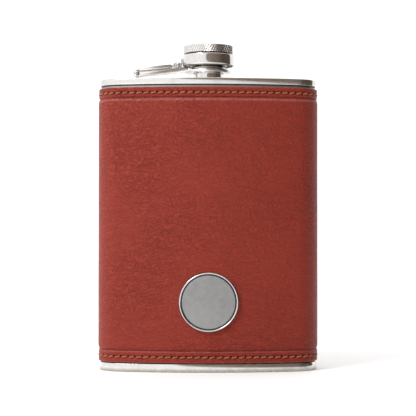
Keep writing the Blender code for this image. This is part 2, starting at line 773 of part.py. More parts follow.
def make_upper_arm(collection, cutters, steel, axis):
    half = ARM_WIDTH / 2
    low = FAR_PIN_Z + LOWER_ARM_HEIGHT / 2 + ARM_GAP / 2
    high = low + UPPER_ARM_HEIGHT
    start = Vector((LOWER_ARM_START, 0, low))
    length = (UPPER_ARM_END - LOWER_ARM_START) / math.cos(ARM_SLOPE)
    origin = Vector((FAR_PIN_X, 0, FAR_PIN_Z))

    def local(x, y, z):
        return Vector((x, y, z)) - origin

    arm = box("upper_arm", local(LOWER_ARM_START, -half, low), local(LOWER_ARM_START + length, half, high),
              collection, ARM_SLOPE, start - origin)
    arm.data.materials.append(steel)
    channel = half - ARM_SHEET
    trough = box("cut_upper_trough", local(LOWER_ARM_START + ARM_SHEET, -channel, low - ARM_SHEET),
                 local(LOWER_ARM_START + length - ARM_SHEET, channel, high - ARM_SHEET), cutters, ARM_SLOPE,
                 start - origin)
    combine(arm, trough, "DIFFERENCE")
    knuckle = cross_cylinder("join_upper_knuckle", 0, 0, KNUCKLE_RADIUS, -TONGUE_HALF, TONGUE_HALF, cutters)
    combine(arm, knuckle, "UNION")
    leaf = box("join_leaf", local(FAR_PIN_X, -LEAF_HALF, FAR_PIN_Z + FAR_PIN_RADIUS + PIN_PLAY * 2),
               local(LOWER_ARM_START + ARM_SHEET * 1.5, LEAF_HALF, high - ARM_SHEET / 2), cutters)
    combine(arm, leaf, "UNION")
    root_x = UPPER_ARM_END - ARM_SHEET / 2
    root_z = high + slope_rise(root_x) - ARM_SHEET
    tongue_slope = math.atan2(NEAR_PIN_Z - root_z, NEAR_PIN_X - root_x)
    reach = math.hypot(NEAR_PIN_Z - root_z, NEAR_PIN_X - root_x)
    thick = TONGUE_THICKNESS / 2
    tongue = box("join_tongue", local(root_x, -LEAF_HALF, root_z - thick),
                 local(root_x + reach, LEAF_HALF, root_z + thick), cutters, tongue_slope,
                 local(root_x, 0, root_z))
    combine(arm, tongue, "UNION")
    eye_x, _, eye_z = local(NEAR_PIN_X, 0, NEAR_PIN_Z)
    eye = cross_cylinder("join_eye", eye_x, eye_z, EYE_RADIUS, -TONGUE_HALF, TONGUE_HALF, cutters)
    combine(arm, eye, "UNION")
    far_hole = cross_cylinder("cut_upper_far_hole", 0, 0, FAR_PIN_RADIUS + PIN_PLAY, -ARM_WIDTH, ARM_WIDTH,
                              cutters)
    combine(arm, far_hole, "DIFFERENCE")
    near_hole = cross_cylinder("cut_upper_near_hole", eye_x, eye_z, NEAR_PIN_RADIUS + PIN_PLAY, -ARM_WIDTH,
                               ARM_WIDTH, cutters)
    combine(arm, near_hole, "DIFFERENCE")
    make_tools_follow(arm, axis)
    put(arm, axis)


def make_rivet(name, radius, grip, collection, steel, axis, place):
    """A rivet along Y whose heads close on a grip of the given half width."""
    head = radius + PIN_HEAD_WIDER
    rim = grip + PIN_HEAD
    upper = [
        (0, rim),
        (head - PIN_HEAD_EDGE, rim),
        (head, rim - PIN_HEAD_EDGE),
        (head, grip),
        (radius, grip),
    ]
    profile = upper + [(out, -along) for out, along in reversed(upper)]
    pin = turned(name, profile, collection, steel, ROUND_CUT_STEPS, closed=False)
    pin.rotation_euler.x = math.pi / 2
    put(pin, axis, place)


# ---- assembly ----
def build():
    clear_scene()
    parts = new_collection("hip_flask")
    cutters = new_collection("cutters")
    steel = new_material("polished_steel", (0.78, 0.77, 0.74), 0.12, 1.0)
    brushed = new_material("brushed_disc", (0.36, 0.36, 0.36), 0.45, 1.0)
    leather = new_material("leather", (0.30, 0.045, 0.03), 0.5)
    thread = new_material("thread", (0.42, 0.19, 0.12), 0.8)
    foam = new_material("foam", (0.7, 0.68, 0.62), 0.9)
    glue = new_material("glue_pad", (0.05, 0.05, 0.05), 0.8)
    rubber = new_material("seal_rubber", (0.75, 0.74, 0.70), 0.7)

    make_body_shell(parts, steel)
    make_top_plate(parts, cutters, steel)
    make_base_plate(parts, steel)
    make_padding(parts, foam)
    make_leather_wrap(parts, leather)
    low, high = leather_edges()
    make_stitching("bottom_stitching", low + STITCH_INSET, parts, thread)
    make_stitching("top_stitching", high - STITCH_INSET, parts, thread)
    make_medallion(parts, steel, brushed, glue)
    make_neck(parts, steel)

    cap_axis = new_empty("cap_axis", AXIS, parts)
    band_axis = new_empty("band_axis", AXIS, parts)
    swivel_axis = new_empty("swivel_axis", AXIS, parts)
    fold_axis = new_empty("fold_axis", (FAR_PIN_X, 0, FAR_PIN_Z), parts)
    fold_axis.parent = swivel_axis
    make_cap_head(parts, steel, cap_axis)
    make_cap_insert(parts, steel, cap_axis)
    make_cap_seal(parts, rubber)
    make_cap_band(parts, steel, band_axis)
    make_band_ear(parts, cutters, steel, band_axis)
    make_lower_arm(parts, cutters, steel, swivel_axis)
    make_upper_arm(parts, cutters, steel, fold_axis)
    make_rivet("far_hinge_pin", FAR_PIN_RADIUS, ARM_WIDTH / 2 + PIN_PLAY, parts, steel, swivel_axis,
               (FAR_PIN_X, 0, FAR_PIN_Z))
    lug_out = TONGUE_HALF + TONGUE_PLAY + LUG_THICKNESS
    make_rivet("near_hinge_pin", NEAR_PIN_RADIUS, lug_out + TONGUE_PLAY, parts, steel, fold_axis,
               (NEAR_PIN_X - FAR_PIN_X, 0, NEAR_PIN_Z - FAR_PIN_Z))


build()
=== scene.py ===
# Leather-covered hip flask with a captive screw cap, standing on a plain pale floor.
import math

import bmesh
import bpy
from mathutils import Matrix, Vector, noise


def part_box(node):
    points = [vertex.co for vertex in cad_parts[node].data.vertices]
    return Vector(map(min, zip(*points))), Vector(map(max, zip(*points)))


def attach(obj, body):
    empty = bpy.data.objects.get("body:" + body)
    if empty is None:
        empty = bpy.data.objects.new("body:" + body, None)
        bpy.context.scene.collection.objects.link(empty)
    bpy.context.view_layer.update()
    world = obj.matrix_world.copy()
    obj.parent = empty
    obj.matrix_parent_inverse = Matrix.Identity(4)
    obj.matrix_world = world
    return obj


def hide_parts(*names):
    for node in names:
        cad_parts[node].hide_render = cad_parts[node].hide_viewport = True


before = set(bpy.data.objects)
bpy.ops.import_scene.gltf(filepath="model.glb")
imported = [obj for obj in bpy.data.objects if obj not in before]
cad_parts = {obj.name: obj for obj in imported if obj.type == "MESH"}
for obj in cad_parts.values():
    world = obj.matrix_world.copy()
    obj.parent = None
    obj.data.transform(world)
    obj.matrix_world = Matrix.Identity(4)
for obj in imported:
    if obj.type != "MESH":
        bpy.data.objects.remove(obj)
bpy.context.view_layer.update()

mm = 0.001
quarterTurn = math.pi / 2

# the flask's section: a bowed middle line with round ends, in plan
panLow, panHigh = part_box("top_plate")
shoulder = panHigh.z
section = {"panHalf": 11.65 * mm, "bowRadius": 139.0 * mm}
section["endX"] = panHigh.x - section["panHalf"]
section["middleY"] = panLow.y + section["panHalf"]
section["bowAngle"] = math.asin(section["endX"] / section["bowRadius"])
section["sag"] = section["bowRadius"] * (1 - math.cos(section["bowAngle"]))
neckAxis = Vector((0, section["middleY"], 0))
neckFoot = Vector((0, section["middleY"], shoulder))


# small tools for the hand work
def clearSelection():
    for thing in list(bpy.context.selected_objects):
        thing.select_set(False)


def onlySelect(piece):
    clearSelection()
    piece.select_set(True)
    bpy.context.view_layer.objects.active = piece


def placeInMesh(piece):
    onlySelect(piece)
    bpy.ops.object.transform_apply(location=True, rotation=True, scale=True)


def smooth(angle):
    bpy.ops.object.shade_smooth_by_angle(angle=math.radians(angle))


def paint(piece, material):
    piece.data.materials.clear()
    piece.data.materials.append(material)
    return piece


def setMode(mode):
    bpy.ops.object.mode_set(mode=mode)


def selectAll():
    bpy.ops.mesh.select_all(action="SELECT")


def mergeAll(reach=1e-6):
    selectAll()
    bpy.ops.mesh.remove_doubles(threshold=reach)


def drawLine(name, points, closed=False):
    # closes a small plane up to one point and draws a line from it, all selected, ready to spin
    clearSelection()
    bpy.ops.mesh.primitive_plane_add(size=mm, location=points[0])
    piece = bpy.context.object
    piece.name = piece.data.name = name
    setMode("EDIT")
    bpy.ops.mesh.select_mode(type="VERT")
    selectAll()
    bpy.ops.mesh.merge(type="CENTER")
    ends = points[1:] + points[:1] if closed else points[1:]
    for here, there in zip(points, ends):
        bpy.ops.mesh.extrude_vertices_move(TRANSFORM_OT_translate={"value": Vector(there) - Vector(here)})
    mergeAll(2e-6)
    selectAll()
    return piece


def softLine(corners, steps=4):
    # turns (across, up, radius) corners into a line of (across, up) points with rounded corners
    line = []
    last = len(corners) - 1
    for i, (across, up, radius) in enumerate(corners):
        here = Vector((across, up))
        if radius == 0 or i in (0, last):
            line.append(here)
            continue
        back = Vector(corners[i - 1][:2]) - here
        on = Vector(corners[i + 1][:2]) - here
        reach = min(radius, back.length * 0.48, on.length * 0.48)
        start, end = here + back.normalized() * reach, here + on.normalized() * reach
        for k in range(steps + 1):
            t = k / steps
            line.append(start * (1 - t) ** 2 + here * 2 * t * (1 - t) + end * t ** 2)
    return [(p.x, p.y) for p in line]


def settle(piece, angle=35):
    # ends the edit work: one closed skin that faces out, with its place in its mesh
    setMode("EDIT")
    bpy.ops.mesh.select_mode(type="VERT")
    mergeAll()
    bpy.ops.mesh.normals_make_consistent(inside=False)
    setMode("OBJECT")
    placeInMesh(piece)
    smooth(angle)
    return piece


def useModifier(piece, kind, **settings):
    onlySelect(piece)
    step = piece.modifiers.new(kind.title(), kind)
    for key, value in settings.items():
        setattr(step, key, value)
    bpy.ops.object.modifier_apply(modifier=step.name)


def selectBy(piece, kind, test):
    # selects the vertices or the edges that pass a test
    bpy.ops.mesh.select_mode(type=kind)
    bpy.ops.mesh.select_all(action="DESELECT")
    bm = bmesh.from_edit_mesh(piece.data)
    for item in bm.verts if kind == "VERT" else bm.edges:
        item.select = test(item)
    bm.select_flush_mode()
    bmesh.update_edit_mesh(piece.data)


def selectRim(piece, height):
    # selects the open edges at one height
    def isOpenHere(edge):
        middle = (edge.verts[0].co + edge.verts[1].co) / 2 + piece.location
        return edge.is_boundary and abs(middle.z - height) < 0.01 * mm

    selectBy(piece, "EDGE", isOpenHere)


def turned(name, line, centre=neckFoot, axis=(0, 0, 1), steps=96, closed=True):
    # draws a (radius, height) line and spins it once round an axis through the centre
    points = [Vector(centre) + Vector((radius, 0, 0)) + Vector(axis) * height for radius, height in line]
    piece = drawLine(name, points, closed)
    bpy.ops.mesh.spin(steps=steps, angle=2 * math.pi, center=centre, axis=axis)
    return settle(piece)


def swept(name, line, steps, closed=True):
    # draws a (half, height) line at the middle of the front and spins it round the bowed section
    front, end, back = steps
    middle = section["middleY"]
    piece = drawLine(name, [Vector((0, middle - half, height)) for half, height in line], closed)
    bow = (0, middle + section["bowRadius"], 0)
    right = (section["endX"], middle + section["sag"], 0)
    left = (-section["endX"], middle + section["sag"], 0)
    turn = section["bowAngle"]
    for centre, angle, count in ((bow, turn, front), (right, math.pi, end), (bow, -2 * turn, back),
                                 (left, math.pi, end), (bow, turn, front)):
        bpy.ops.mesh.spin(steps=count, angle=angle, center=centre, axis=(0, 0, -1))
    return piece


def cadCopy(name, node, edge):
    # a copy of a CAD node, merged and flattened, with its edges broken
    piece = bpy.data.objects.new(name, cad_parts[node].data.copy())
    piece.data.name = name
    bpy.context.scene.collection.objects.link(piece)
    onlySelect(piece)
    setMode("EDIT")
    mergeAll(2e-6)
    bpy.ops.mesh.dissolve_limited(angle_limit=math.radians(1))
    setMode("OBJECT")
    useModifier(piece, "BEVEL", width=edge, segments=2, limit_method="ANGLE", angle_limit=math.radians(28))
    smooth(40)
    return piece


def sectionPlace(half, travel):
    # the place and the outward way at a distance along the section, from the middle of the front to +X
    bowR, turn = section["bowRadius"], section["bowAngle"]
    bow = Vector((0, section["middleY"] + bowR))
    endY = section["middleY"] + section["sag"]
    runs = [turn * (bowR + half), math.pi * half, 2 * turn * (bowR - half), math.pi * half,
            turn * (bowR + half)]
    travel %= sum(runs)
    kind = 0
    while travel > runs[kind]:
        travel -= runs[kind]
        kind += 1
    if kind in (0, 4):
        angle = travel / (bowR + half) - (turn if kind == 4 else 0)
        way = Vector((math.sin(angle), -math.cos(angle)))
        return bow + way * (bowR + half), way
    if kind == 2:
        angle = turn - travel / (bowR - half)
        way = Vector((math.sin(angle), -math.cos(angle)))
        return bow + way * (bowR - half), -way
    angle = travel / half + (turn if kind == 1 else math.pi - turn)
    way = Vector((math.sin(angle), -math.cos(angle)))
    return Vector((section["endX"] * (1 if kind == 1 else -1), endY)) + way * half, way


def girth(half):
    # the length of the section's outline at a distance from its middle line
    return 4 * section["bowAngle"] * section["bowRadius"] + 2 * math.pi * half


# materials
def newMaterial(name, colour, roughness, metallic=0.0, **more):
    # a Principled material, its nodes and the place on the piece; fixed values are on the shader itself
    material = bpy.data.materials.new(name)
    material.use_nodes = True
    tree = material.node_tree
    shader = tree.nodes["Principled BSDF"]
    shader.inputs["Base Color"].default_value = (*colour, 1)
    shader.inputs["Roughness"].default_value = roughness
    shader.inputs["Metallic"].default_value = metallic
    for key, value in more.items():
        shader.inputs[key.replace("_", " ")].default_value = value
    return material, tree, addNode(tree, "TexCoord").outputs["Object"]


def isSocket(value):
    return isinstance(value, bpy.types.NodeSocket)


def feed(tree, socket, value):
    # links a socket, or sets its value
    if isSocket(value):
        tree.links.new(value, socket)
    else:
        socket.default_value = value


def addNode(tree, kind, inputs=None, **settings):
    node = tree.nodes.new("ShaderNode" + kind)
    for key, value in settings.items():
        setattr(node, key, value)
    for key, value in (inputs or {}).items():
        feed(tree, node.inputs[key], value)
    return node


def useGroup(tree, group, **inputs):
    return addNode(tree, "Group", inputs, node_tree=group).outputs


def maths(tree, operation, first, second=0.0, clamp=False):
    return addNode(tree, "Math", {0: first, 1: second}, operation=operation, use_clamp=clamp).outputs[0]


def times(tree, first, second):
    return maths(tree, "MULTIPLY", first, second)


def plus(tree, first, second, clamp=False):
    return maths(tree, "ADD", first, second, clamp)


def ramp(tree, value, low, high, toLow=0.0, toHigh=1.0, shape="SMOOTHSTEP"):
    return addNode(tree, "MapRange", {"Value": value, "From Min": low, "From Max": high,
                                      "To Min": toLow, "To Max": toHigh},
                   interpolation_type=shape).outputs["Result"]


def mist(tree, place, scale, detail, roughness=0.5, distortion=0.0):
    # soft noise between 0 and 1
    return addNode(tree, "TexNoise", {"Vector": place, "Scale": scale, "Detail": detail,
                                      "Roughness": roughness, "Distortion": distortion}).outputs["Fac"]


def cracks(tree, place, scale, randomness):
    # how far a place is from the nearest border between cells
    return addNode(tree, "TexVoronoi", {"Vector": place, "Scale": scale, "Randomness": randomness},
                   feature="DISTANCE_TO_EDGE").outputs["Distance"]


def bent(tree, place, scale, detail, reach):
    # moves the places about by a soft noise, so that what is drawn on them wanders
    bend = addNode(tree, "TexNoise", {"Vector": place, "Scale": scale, "Detail": detail}).outputs["Color"]
    moved = addNode(tree, "VectorMath", {0: bend, 1: (reach, reach, reach)}, operation="MULTIPLY").outputs[0]
    return addNode(tree, "VectorMath", {0: place, 1: moved}, operation="ADD").outputs[0]


def stretched(tree, place, scale, turn=(0, 0, 0)):
    return addNode(tree, "Mapping", {"Vector": place, "Scale": scale, "Rotation": turn}).outputs[0]


def mixColours(tree, factor, first, second):
    node = addNode(tree, "Mix", {0: factor}, data_type="RGBA", clamp_factor=True)
    for socket, colour in ((node.inputs[6], first), (node.inputs[7], second)):
        feed(tree, socket, colour if isSocket(colour) else (*colour, 1))
    return node.outputs[2]


def tinted(tree, colour, mask, share, other):
    # a share of another colour where the mask is
    return mixColours(tree, times(tree, mask, share), colour, other)


def newGroup(name, numbers, results):
    # a node group that takes a place and some numbers, and puts out masks or heights
    group = bpy.data.node_groups.new(name, "ShaderNodeTree")
    group.interface.new_socket(name="Vector", in_out="INPUT", socket_type="NodeSocketVector")
    for label, value in numbers.items():
        socket = group.interface.new_socket(name=label, in_out="INPUT", socket_type="NodeSocketFloat")
        socket.default_value = value
    for label in results:
        group.interface.new_socket(name=label, in_out="OUTPUT", socket_type="NodeSocketFloat")
    start, end = group.nodes.new("NodeGroupInput"), group.nodes.new("NodeGroupOutput")
    return group, start.outputs, end.inputs


def makeScratches():
    # fine straight scratches in two ways and soft smudges
    group, inputs, outputs = newGroup("fineScratches", {"Scale": 1.0, "Amount": 1.0},
                                      ("Scratches", "Smudges"))
    place = inputs["Vector"]
    cuts = []
    for turn, stretch in (((0.4, 0.2, 0.5), (150, 4200, 900)), ((0.1, 0.9, -0.6), (260, 900, 5200))):
        lines = mist(group, stretched(group, place, stretch, turn), inputs["Scale"], 3.0, 0.55)
        cuts.append(ramp(group, lines, 0.60, 0.72))
    group.links.new(times(group, maths(group, "MAXIMUM", *cuts), inputs["Amount"]), outputs["Scratches"])
    group.links.new(ramp(group, mist(group, place, 160.0, 4.0, 0.6, 0.6), 0.42, 0.68), outputs["Smudges"])
    return group


def makeGrain():
    # pebbled grain: small rounded cells with finer pores between them
    group, inputs, outputs = newGroup("pebbleGrain", {"Scale": 1400.0}, ("Height", "Cells"))
    place = inputs["Vector"]
    cells = cracks(group, bent(group, place, 420.0, 2.0, 0.0009), inputs["Scale"], 0.95)
    dome = ramp(group, cells, 0.0, 0.26)
    pores = mist(group, place, 5200.0, 2.0, 0.6)
    group.links.new(plus(group, times(group, dome, 0.75), times(group, pores, 0.35)), outputs["Height"])
    group.links.new(dome, outputs["Cells"])
    return group


def makeWrinkles():
    # long thin curved creases that come and go over the surface
    group, inputs, outputs = newGroup("longWrinkles", {"Scale": 90.0, "Width": 0.03}, ("Creases",))
    place = inputs["Vector"]
    lines = cracks(group, bent(group, place, 60.0, 3.0, 0.016), inputs["Scale"], 1.0)
    crease = ramp(group, lines, 0.0, inputs["Width"], 1.0, 0.0, "LINEAR")
    where = ramp(group, mist(group, place, 48.0, 2.0), 0.47, 0.62)
    group.links.new(times(group, crease, where), outputs["Creases"])
    return group


def makeShortWrinkles():
    # fine wavy wrinkles that lie mostly across the leather, stronger in some places
    group, inputs, outputs = newGroup("shortWrinkles", {"Scale": 330.0}, ("Height", "Valleys"))
    flat = stretched(group, inputs["Vector"], (1, 1, 2.3), (0, 0.16, 0))
    waves = mist(group, bent(group, flat, 150.0, 2.0, 0.006), inputs["Scale"], 3.0, 0.55)
    ridge = maths(group, "ABSOLUTE", maths(group, "SUBTRACT", waves, 0.5))
    share = ramp(group, mist(group, inputs["Vector"], 34.0, 3.0), 0.36, 0.64, 0.50, 1.0)
    group.links.new(times(group, ramp(group, ridge, 0.0, 0.085), share), outputs["Height"])
    group.links.new(times(group, ramp(group, ridge, 0.0, 0.04, 1.0, 0.0), share), outputs["Valleys"])
    return group


def makeBandMask():
    # a soft band of the surface round one height, broken up by spots; it carries painted shade and painted
    # highlights as well as wear
    group, inputs, outputs = newGroup("heightBand", {"Height": 0.0, "Reach": 0.001, "Breakup": 0.5}, ("Mask",))
    height = addNode(group, "SeparateXYZ", {0: inputs["Vector"]}).outputs["Z"]
    away = maths(group, "ABSOLUTE", maths(group, "SUBTRACT", height, inputs["Height"]))
    near = ramp(group, away, 0.0, inputs["Reach"], 1.0, 0.0)
    spots = ramp(group, mist(group, inputs["Vector"], 700.0, 4.0, 0.65), 0.40, 0.62)
    broken = maths(group, "SUBTRACT", 1.0, times(group, spots, inputs["Breakup"]))
    group.links.new(times(group, near, broken), outputs["Mask"])
    return group


fineScratches, pebbleGrain = makeScratches(), makeGrain()
longWrinkles, shortWrinkles, heightBand = makeWrinkles(), makeShortWrinkles(), makeBandMask()


def bandMask(tree, place, height, reach, breakup):
    return useGroup(tree, heightBand, Vector=place, Height=height, Reach=reach, Breakup=breakup)["Mask"]


def finishWith(material, colour, roughness=None, height=None, distance=0.0, strength=1.0):
    # joins up the shader's colour, roughness and bump
    tree = material.node_tree
    shader = tree.nodes["Principled BSDF"]
    tree.links.new(colour, shader.inputs["Base Color"])
    if roughness is not None:
        tree.links.new(roughness, shader.inputs["Roughness"])
    if height is not None:
        bump = addNode(tree, "Bump", {"Height": height, "Distance": distance, "Strength": strength})
        tree.links.new(bump.outputs["Normal"], shader.inputs["Normal"])
    return material


def steel(name, clean, worn, roughness, rougher, scratchScale, scratchDepth, amount, shadeAndGrime=(), shadeLayer=None):
    # steel with fine scratches and smudges, darker bands near some heights that are mostly painted shade, and
    # painted shade where an attribute says
    material, tree, place = newMaterial(name, clean, roughness, 1.0)
    marks = useGroup(tree, fineScratches, Vector=place, Scale=scratchScale, Amount=amount)
    colour = tinted(tree, clean, marks["Smudges"], 0.5, worn)
    scratched = times(tree, marks["Scratches"], rougher * 0.6)
    rough = plus(tree, scratched, times(tree, marks["Smudges"], rougher * 0.5))
    rough = plus(tree, rough, roughness, clamp=True)
    # each band darkens the steel round one height: painted shade, with a little real grime at the base pan's
    # foot
    for height, reach, breakup, dark in shadeAndGrime:
        band = bandMask(tree, place, height, reach, breakup)
        colour = mixColours(tree, band, colour, dark)
        rough = plus(tree, rough, times(tree, band, 0.18), clamp=True)
    if shadeLayer:
        colour = tinted(tree, colour, addNode(tree, "Attribute", attribute_name=shadeLayer).outputs["Fac"], 0.6,
                        steelLooks["shadeBrown"])
    return finishWith(material, colour, rough, marks["Scratches"], scratchDepth, 0.6)


steelLooks = {
    "polished": ((0.70, 0.685, 0.667), (0.58, 0.563, 0.545)),
    # a lighter copy of the polished steel, for brighter arms: painted light
    "arm": ((0.76, 0.745, 0.73), (0.58, 0.563, 0.545)),
    "bezel": ((0.62, 0.65, 0.65), (0.54, 0.57, 0.57)),
    "satin": ((0.40, 0.385, 0.37), (0.34, 0.33, 0.32)),
    # painted shade at the cap's joints and in the grip's grooves
    "shadeBrown": (0.16, 0.115, 0.070),
    # painted dark reflection of the shaded floor on the base pan's foot, with a little real grime
    "shadeAndGrime": (0.40, 0.37, 0.32),
    # near black: painted shade for the gaps beside the leather
    "gapShade": (0.012, 0.010, 0.009),
    "fine": 0.0012 * mm,        # depth of the scratches
}
shadeBrown, gapShade, fine = steelLooks["shadeBrown"], steelLooks["gapShade"], steelLooks["fine"]
# the band at the base pan's foot darkens its lower rim: painted dark reflection of the shaded floor, over a
# little real grime
panSteel = steel("panSteel", *steelLooks["polished"], 0.12, 0.12, 1.0, fine, 0.7,
                 [(0.3 * mm, 1.6 * mm, 0.25, steelLooks["shadeAndGrime"])])
# brown bands paint shade on the neck bead under the collar's lower edge, and in the dark line where the
# collar meets the grip
capSteel = steel("capSteel", *steelLooks["polished"], 0.10, 0.10, 1.4, fine, 0.6,
                 [(shoulder + 5.7 * mm, 0.55 * mm, 0.35, shadeBrown),
                  (shoulder + 10.95 * mm, 0.35 * mm, 0.35, shadeBrown)])
# the grip gets a painted shade band at its lower edge and painted shade in its deep grooves
gripSteel = steel("gripSteel", *steelLooks["polished"], 0.12, 0.12, 1.4, fine, 0.6,
                  [(shoulder + 11.1 * mm, 0.35 * mm, 0.35, shadeBrown)], "grooveShade")
# the arms use the lighter copy of the polished steel: painted light
armSteel = steel("armSteel", *steelLooks["arm"], 0.22, 0.16, 1.2, 0.0015 * mm, 0.8)
bezelSteel = steel("bezelSteel", *steelLooks["bezel"], 0.16, 0.14, 1.4, fine, 0.6)
satinSteel = steel("satinSteel", *steelLooks["satin"], 0.34, 0.18, 1.0, 0.002 * mm, 0.8)
# the sleeve shows only in the gaps beside the leather, where near-black bands are painted on it: painted
# shade in the gaps
sleeveSteel = steel("sleeveSteel", *steelLooks["satin"], 0.34, 0.18, 1.0, 0.002 * mm, 0.8,
                    [(shoulder - 2.9 * mm, 0.95 * mm, 0.1, gapShade), (3.6 * mm, 1.1 * mm, 0.1, gapShade)])


# leather
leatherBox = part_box("leather_wrap")
leather = {
    "low": leatherBox[0].z,
    "high": leatherBox[1].z,
    "hemHalf": 12.0 * mm,
    "panelHalf": 12.2 * mm,
    "creaseHalf": 11.62 * mm,
    "grooveHalf": 11.66 * mm,
    "innerHalf": 11.1 * mm,
    "overFoam": 11.6 * mm,
    "stitchInset": 2.45 * mm,
    "creaseLow": 5.2 * mm,
    "creaseHigh": 4.45 * mm,
    "rise": 1.9 * mm,
    "panelRows": 38,
    "steps": (102, 98, 172),
    "stitches": 69,
    "holeAcross": 0.46 * mm,
    "holeDepth": 0.42 * mm,
    "seamDepth": 0.34 * mm,
    "seamHalf": 0.5 * mm,
    "waves": 0.05 * mm,
    "waveEdge": 5 * mm,        # how far from the creases the waves reach their full height
    "hemWaves": 0.02 * mm,
    "main": (0.250, 0.0225, 0.0100),
    "dark": (0.185, 0.0142, 0.0066),
    "light": (0.31, 0.050, 0.031),
    # painted shade for creases and wrinkle valleys
    "deep": (0.070, 0.0085, 0.0055),
    # painted highlight for the padded rise and the hem's upper edge
    "shoulderHighlight": (0.40, 0.135, 0.115),
    # lighter leather edges: wear with a painted highlight
    "edge": (0.40, 0.14, 0.09),
    # painted shade for the needle holes
    "hole": (0.018, 0.005, 0.003),
    "bump": 0.21 * mm,
}


def hemLine(edge, inward, crease):
    # one hem in section, from the rounded fold at the leather's edge to the top of the padded rise
    full, groove = leather["hemHalf"], leather["grooveHalf"]
    stitch, rise, inner = leather["stitchInset"], leather["rise"], leather["innerHalf"]
    shape = [
        (inner, 0.10 * mm), (inner + 0.12 * mm, 0.03 * mm), (inner + 0.30 * mm, 0.0),
        (full - 0.36 * mm, 0.0), (full - 0.20 * mm, 0.05 * mm), (full - 0.08 * mm, 0.16 * mm),
        (full - 0.01 * mm, 0.34 * mm), (full, 0.60 * mm), (full, 1.05 * mm),
        (full - 0.03 * mm, stitch - 0.95 * mm), (full - 0.10 * mm, stitch - 0.70 * mm),
        (full - 0.22 * mm, stitch - 0.48 * mm), (groove, stitch - 0.26 * mm), (groove, stitch),
        (groove, stitch + 0.26 * mm), (full - 0.22 * mm, stitch + 0.48 * mm),
        (full - 0.10 * mm, stitch + 0.70 * mm), (full - 0.03 * mm, stitch + 0.92 * mm),
        (full, stitch + 1.20 * mm), (full, crease - 0.80 * mm), (full - 0.03 * mm, crease - 0.55 * mm),
        (full - 0.12 * mm, crease - 0.34 * mm), (full - 0.27 * mm, crease - 0.16 * mm),
        (leather["creaseHalf"], crease), (full - 0.25 * mm, crease + 0.22 * mm),
        (full - 0.10 * mm, crease + 0.52 * mm), (full + 0.02 * mm, crease + 0.86 * mm),
        (full + 0.11 * mm, crease + 1.26 * mm), (leather["panelHalf"] - 0.03 * mm, crease + rise),
    ]
    return [(half, edge + inward * up) for half, up in shape]


def leatherLine():
    low, high = leather["low"], leather["high"]
    lower = hemLine(low, 1, leather["creaseLow"])
    upper = hemLine(high, -1, leather["creaseHigh"])[::-1]
    start, end = lower[-1][1], upper[0][1]
    rows = leather["panelRows"]
    panel = [(leather["panelHalf"], start + (end - start) * i / rows) for i in range(1, rows)]
    inset = leather["creaseLow"] + 1.5 * mm
    inner, over = leather["innerHalf"], leather["overFoam"]
    lining = [(inner, high - inset + 0.8 * mm), (over, high - inset), (over, low + inset),
              (inner, low + inset - 0.8 * mm)]
    return lower + panel + upper + lining


stitch = {
    "length": 2.55 * mm,
    "radius": 0.33 * mm,
    "sides": 8,
    "slant": 11.0,
    "dip": 0.42 * mm,
    "stand": 0.26 * mm,        # middle of the thread over the bottom of the groove
    "holeOn": 1.52 * mm,
    "holeUp": 0.26 * mm,
    "light": (0.42, 0.165, 0.078),
    "dark": (0.20, 0.055, 0.026),
    "stained": (0.30, 0.075, 0.040),
}
stitchHeights = leather["low"] + leather["stitchInset"], leather["high"] - leather["stitchInset"]


def stitchTravel(i):
    # the line runs a little shorter in the groove than on the face of the hem
    return (i + 0.5) * girth(leather["grooveHalf"]) / leather["stitches"]


def needleHoles(height):
    holes = []
    for i in range(leather["stitches"]):
        point = sectionPlace(leather["grooveHalf"], stitchTravel(i) + stitch["holeOn"])[0]
        holes.append(Vector((point.x, point.y, height + stitch["holeUp"])))
    return holes


def makeLeather():
    piece = swept("leather_sleeve", leatherLine(), leather["steps"])
    settle(piece, 60)
    bm = bmesh.new()
    bm.from_mesh(piece.data)
    bm.normal_update()
    holeLayer = bm.verts.layers.float.new("needleHole")
    endY = section["middleY"] + section["sag"]
    bowCentre = Vector((0, section["middleY"] + section["bowRadius"]))
    rows = [needleHoles(height) for height in stitchHeights]
    near, across = 1.0 * mm, leather["holeAcross"]
    panelStart = leather["low"] + leather["creaseLow"] + leather["rise"]
    panelEnd = leather["high"] - leather["creaseHigh"] - leather["rise"]
    for v in bm.verts:
        x, y, z = v.co
        if abs(x) > section["endX"]:
            half = math.hypot(abs(x) - section["endX"], y - endY)
        else:
            half = abs((Vector((x, y)) - bowCentre).length - section["bowRadius"])
        if half < leather["overFoam"] + 0.01 * mm:
            continue
        push = 0.0
        for holes in rows:
            if abs(z - holes[0].z) < near:
                gap = min((v.co - place).length for place in holes
                          if abs(place.x - x) < 2 * near and abs(place.y - y) < 2 * near)
                if gap < near:
                    v[holeLayer] = min(1.0, max(0.0, 1.5 - gap / across))
                    push -= leather["holeDepth"] * max(0.0, 1 - (gap / across / 1.35) ** 2)
        # the butt seam down the middle of the back
        if y > 0 and abs(x) < leather["seamHalf"]:
            push -= leather["seamDepth"] * (1 - abs(x) / leather["seamHalf"]) ** 0.8
        # soft unevenness of the padded panel, and a little of the hems
        share = min(1.0, max(0.0, min(z - panelStart, panelEnd - z) / leather["waveEdge"]))
        wave = noise.noise(Vector(v.co) * 70) * 0.7 + noise.noise(Vector(v.co) * 160) * 0.3
        push += leather["waves"] * (wave - 0.45) * share
        if share == 0:
            push += leather["hemWaves"] * noise.noise(Vector(v.co) * 260)
        v.co += Vector((v.normal.x, v.normal.y, 0)).normalized() * push
    bm.to_mesh(piece.data)
    bm.free()
    onlySelect(piece)
    smooth(60)
    return piece


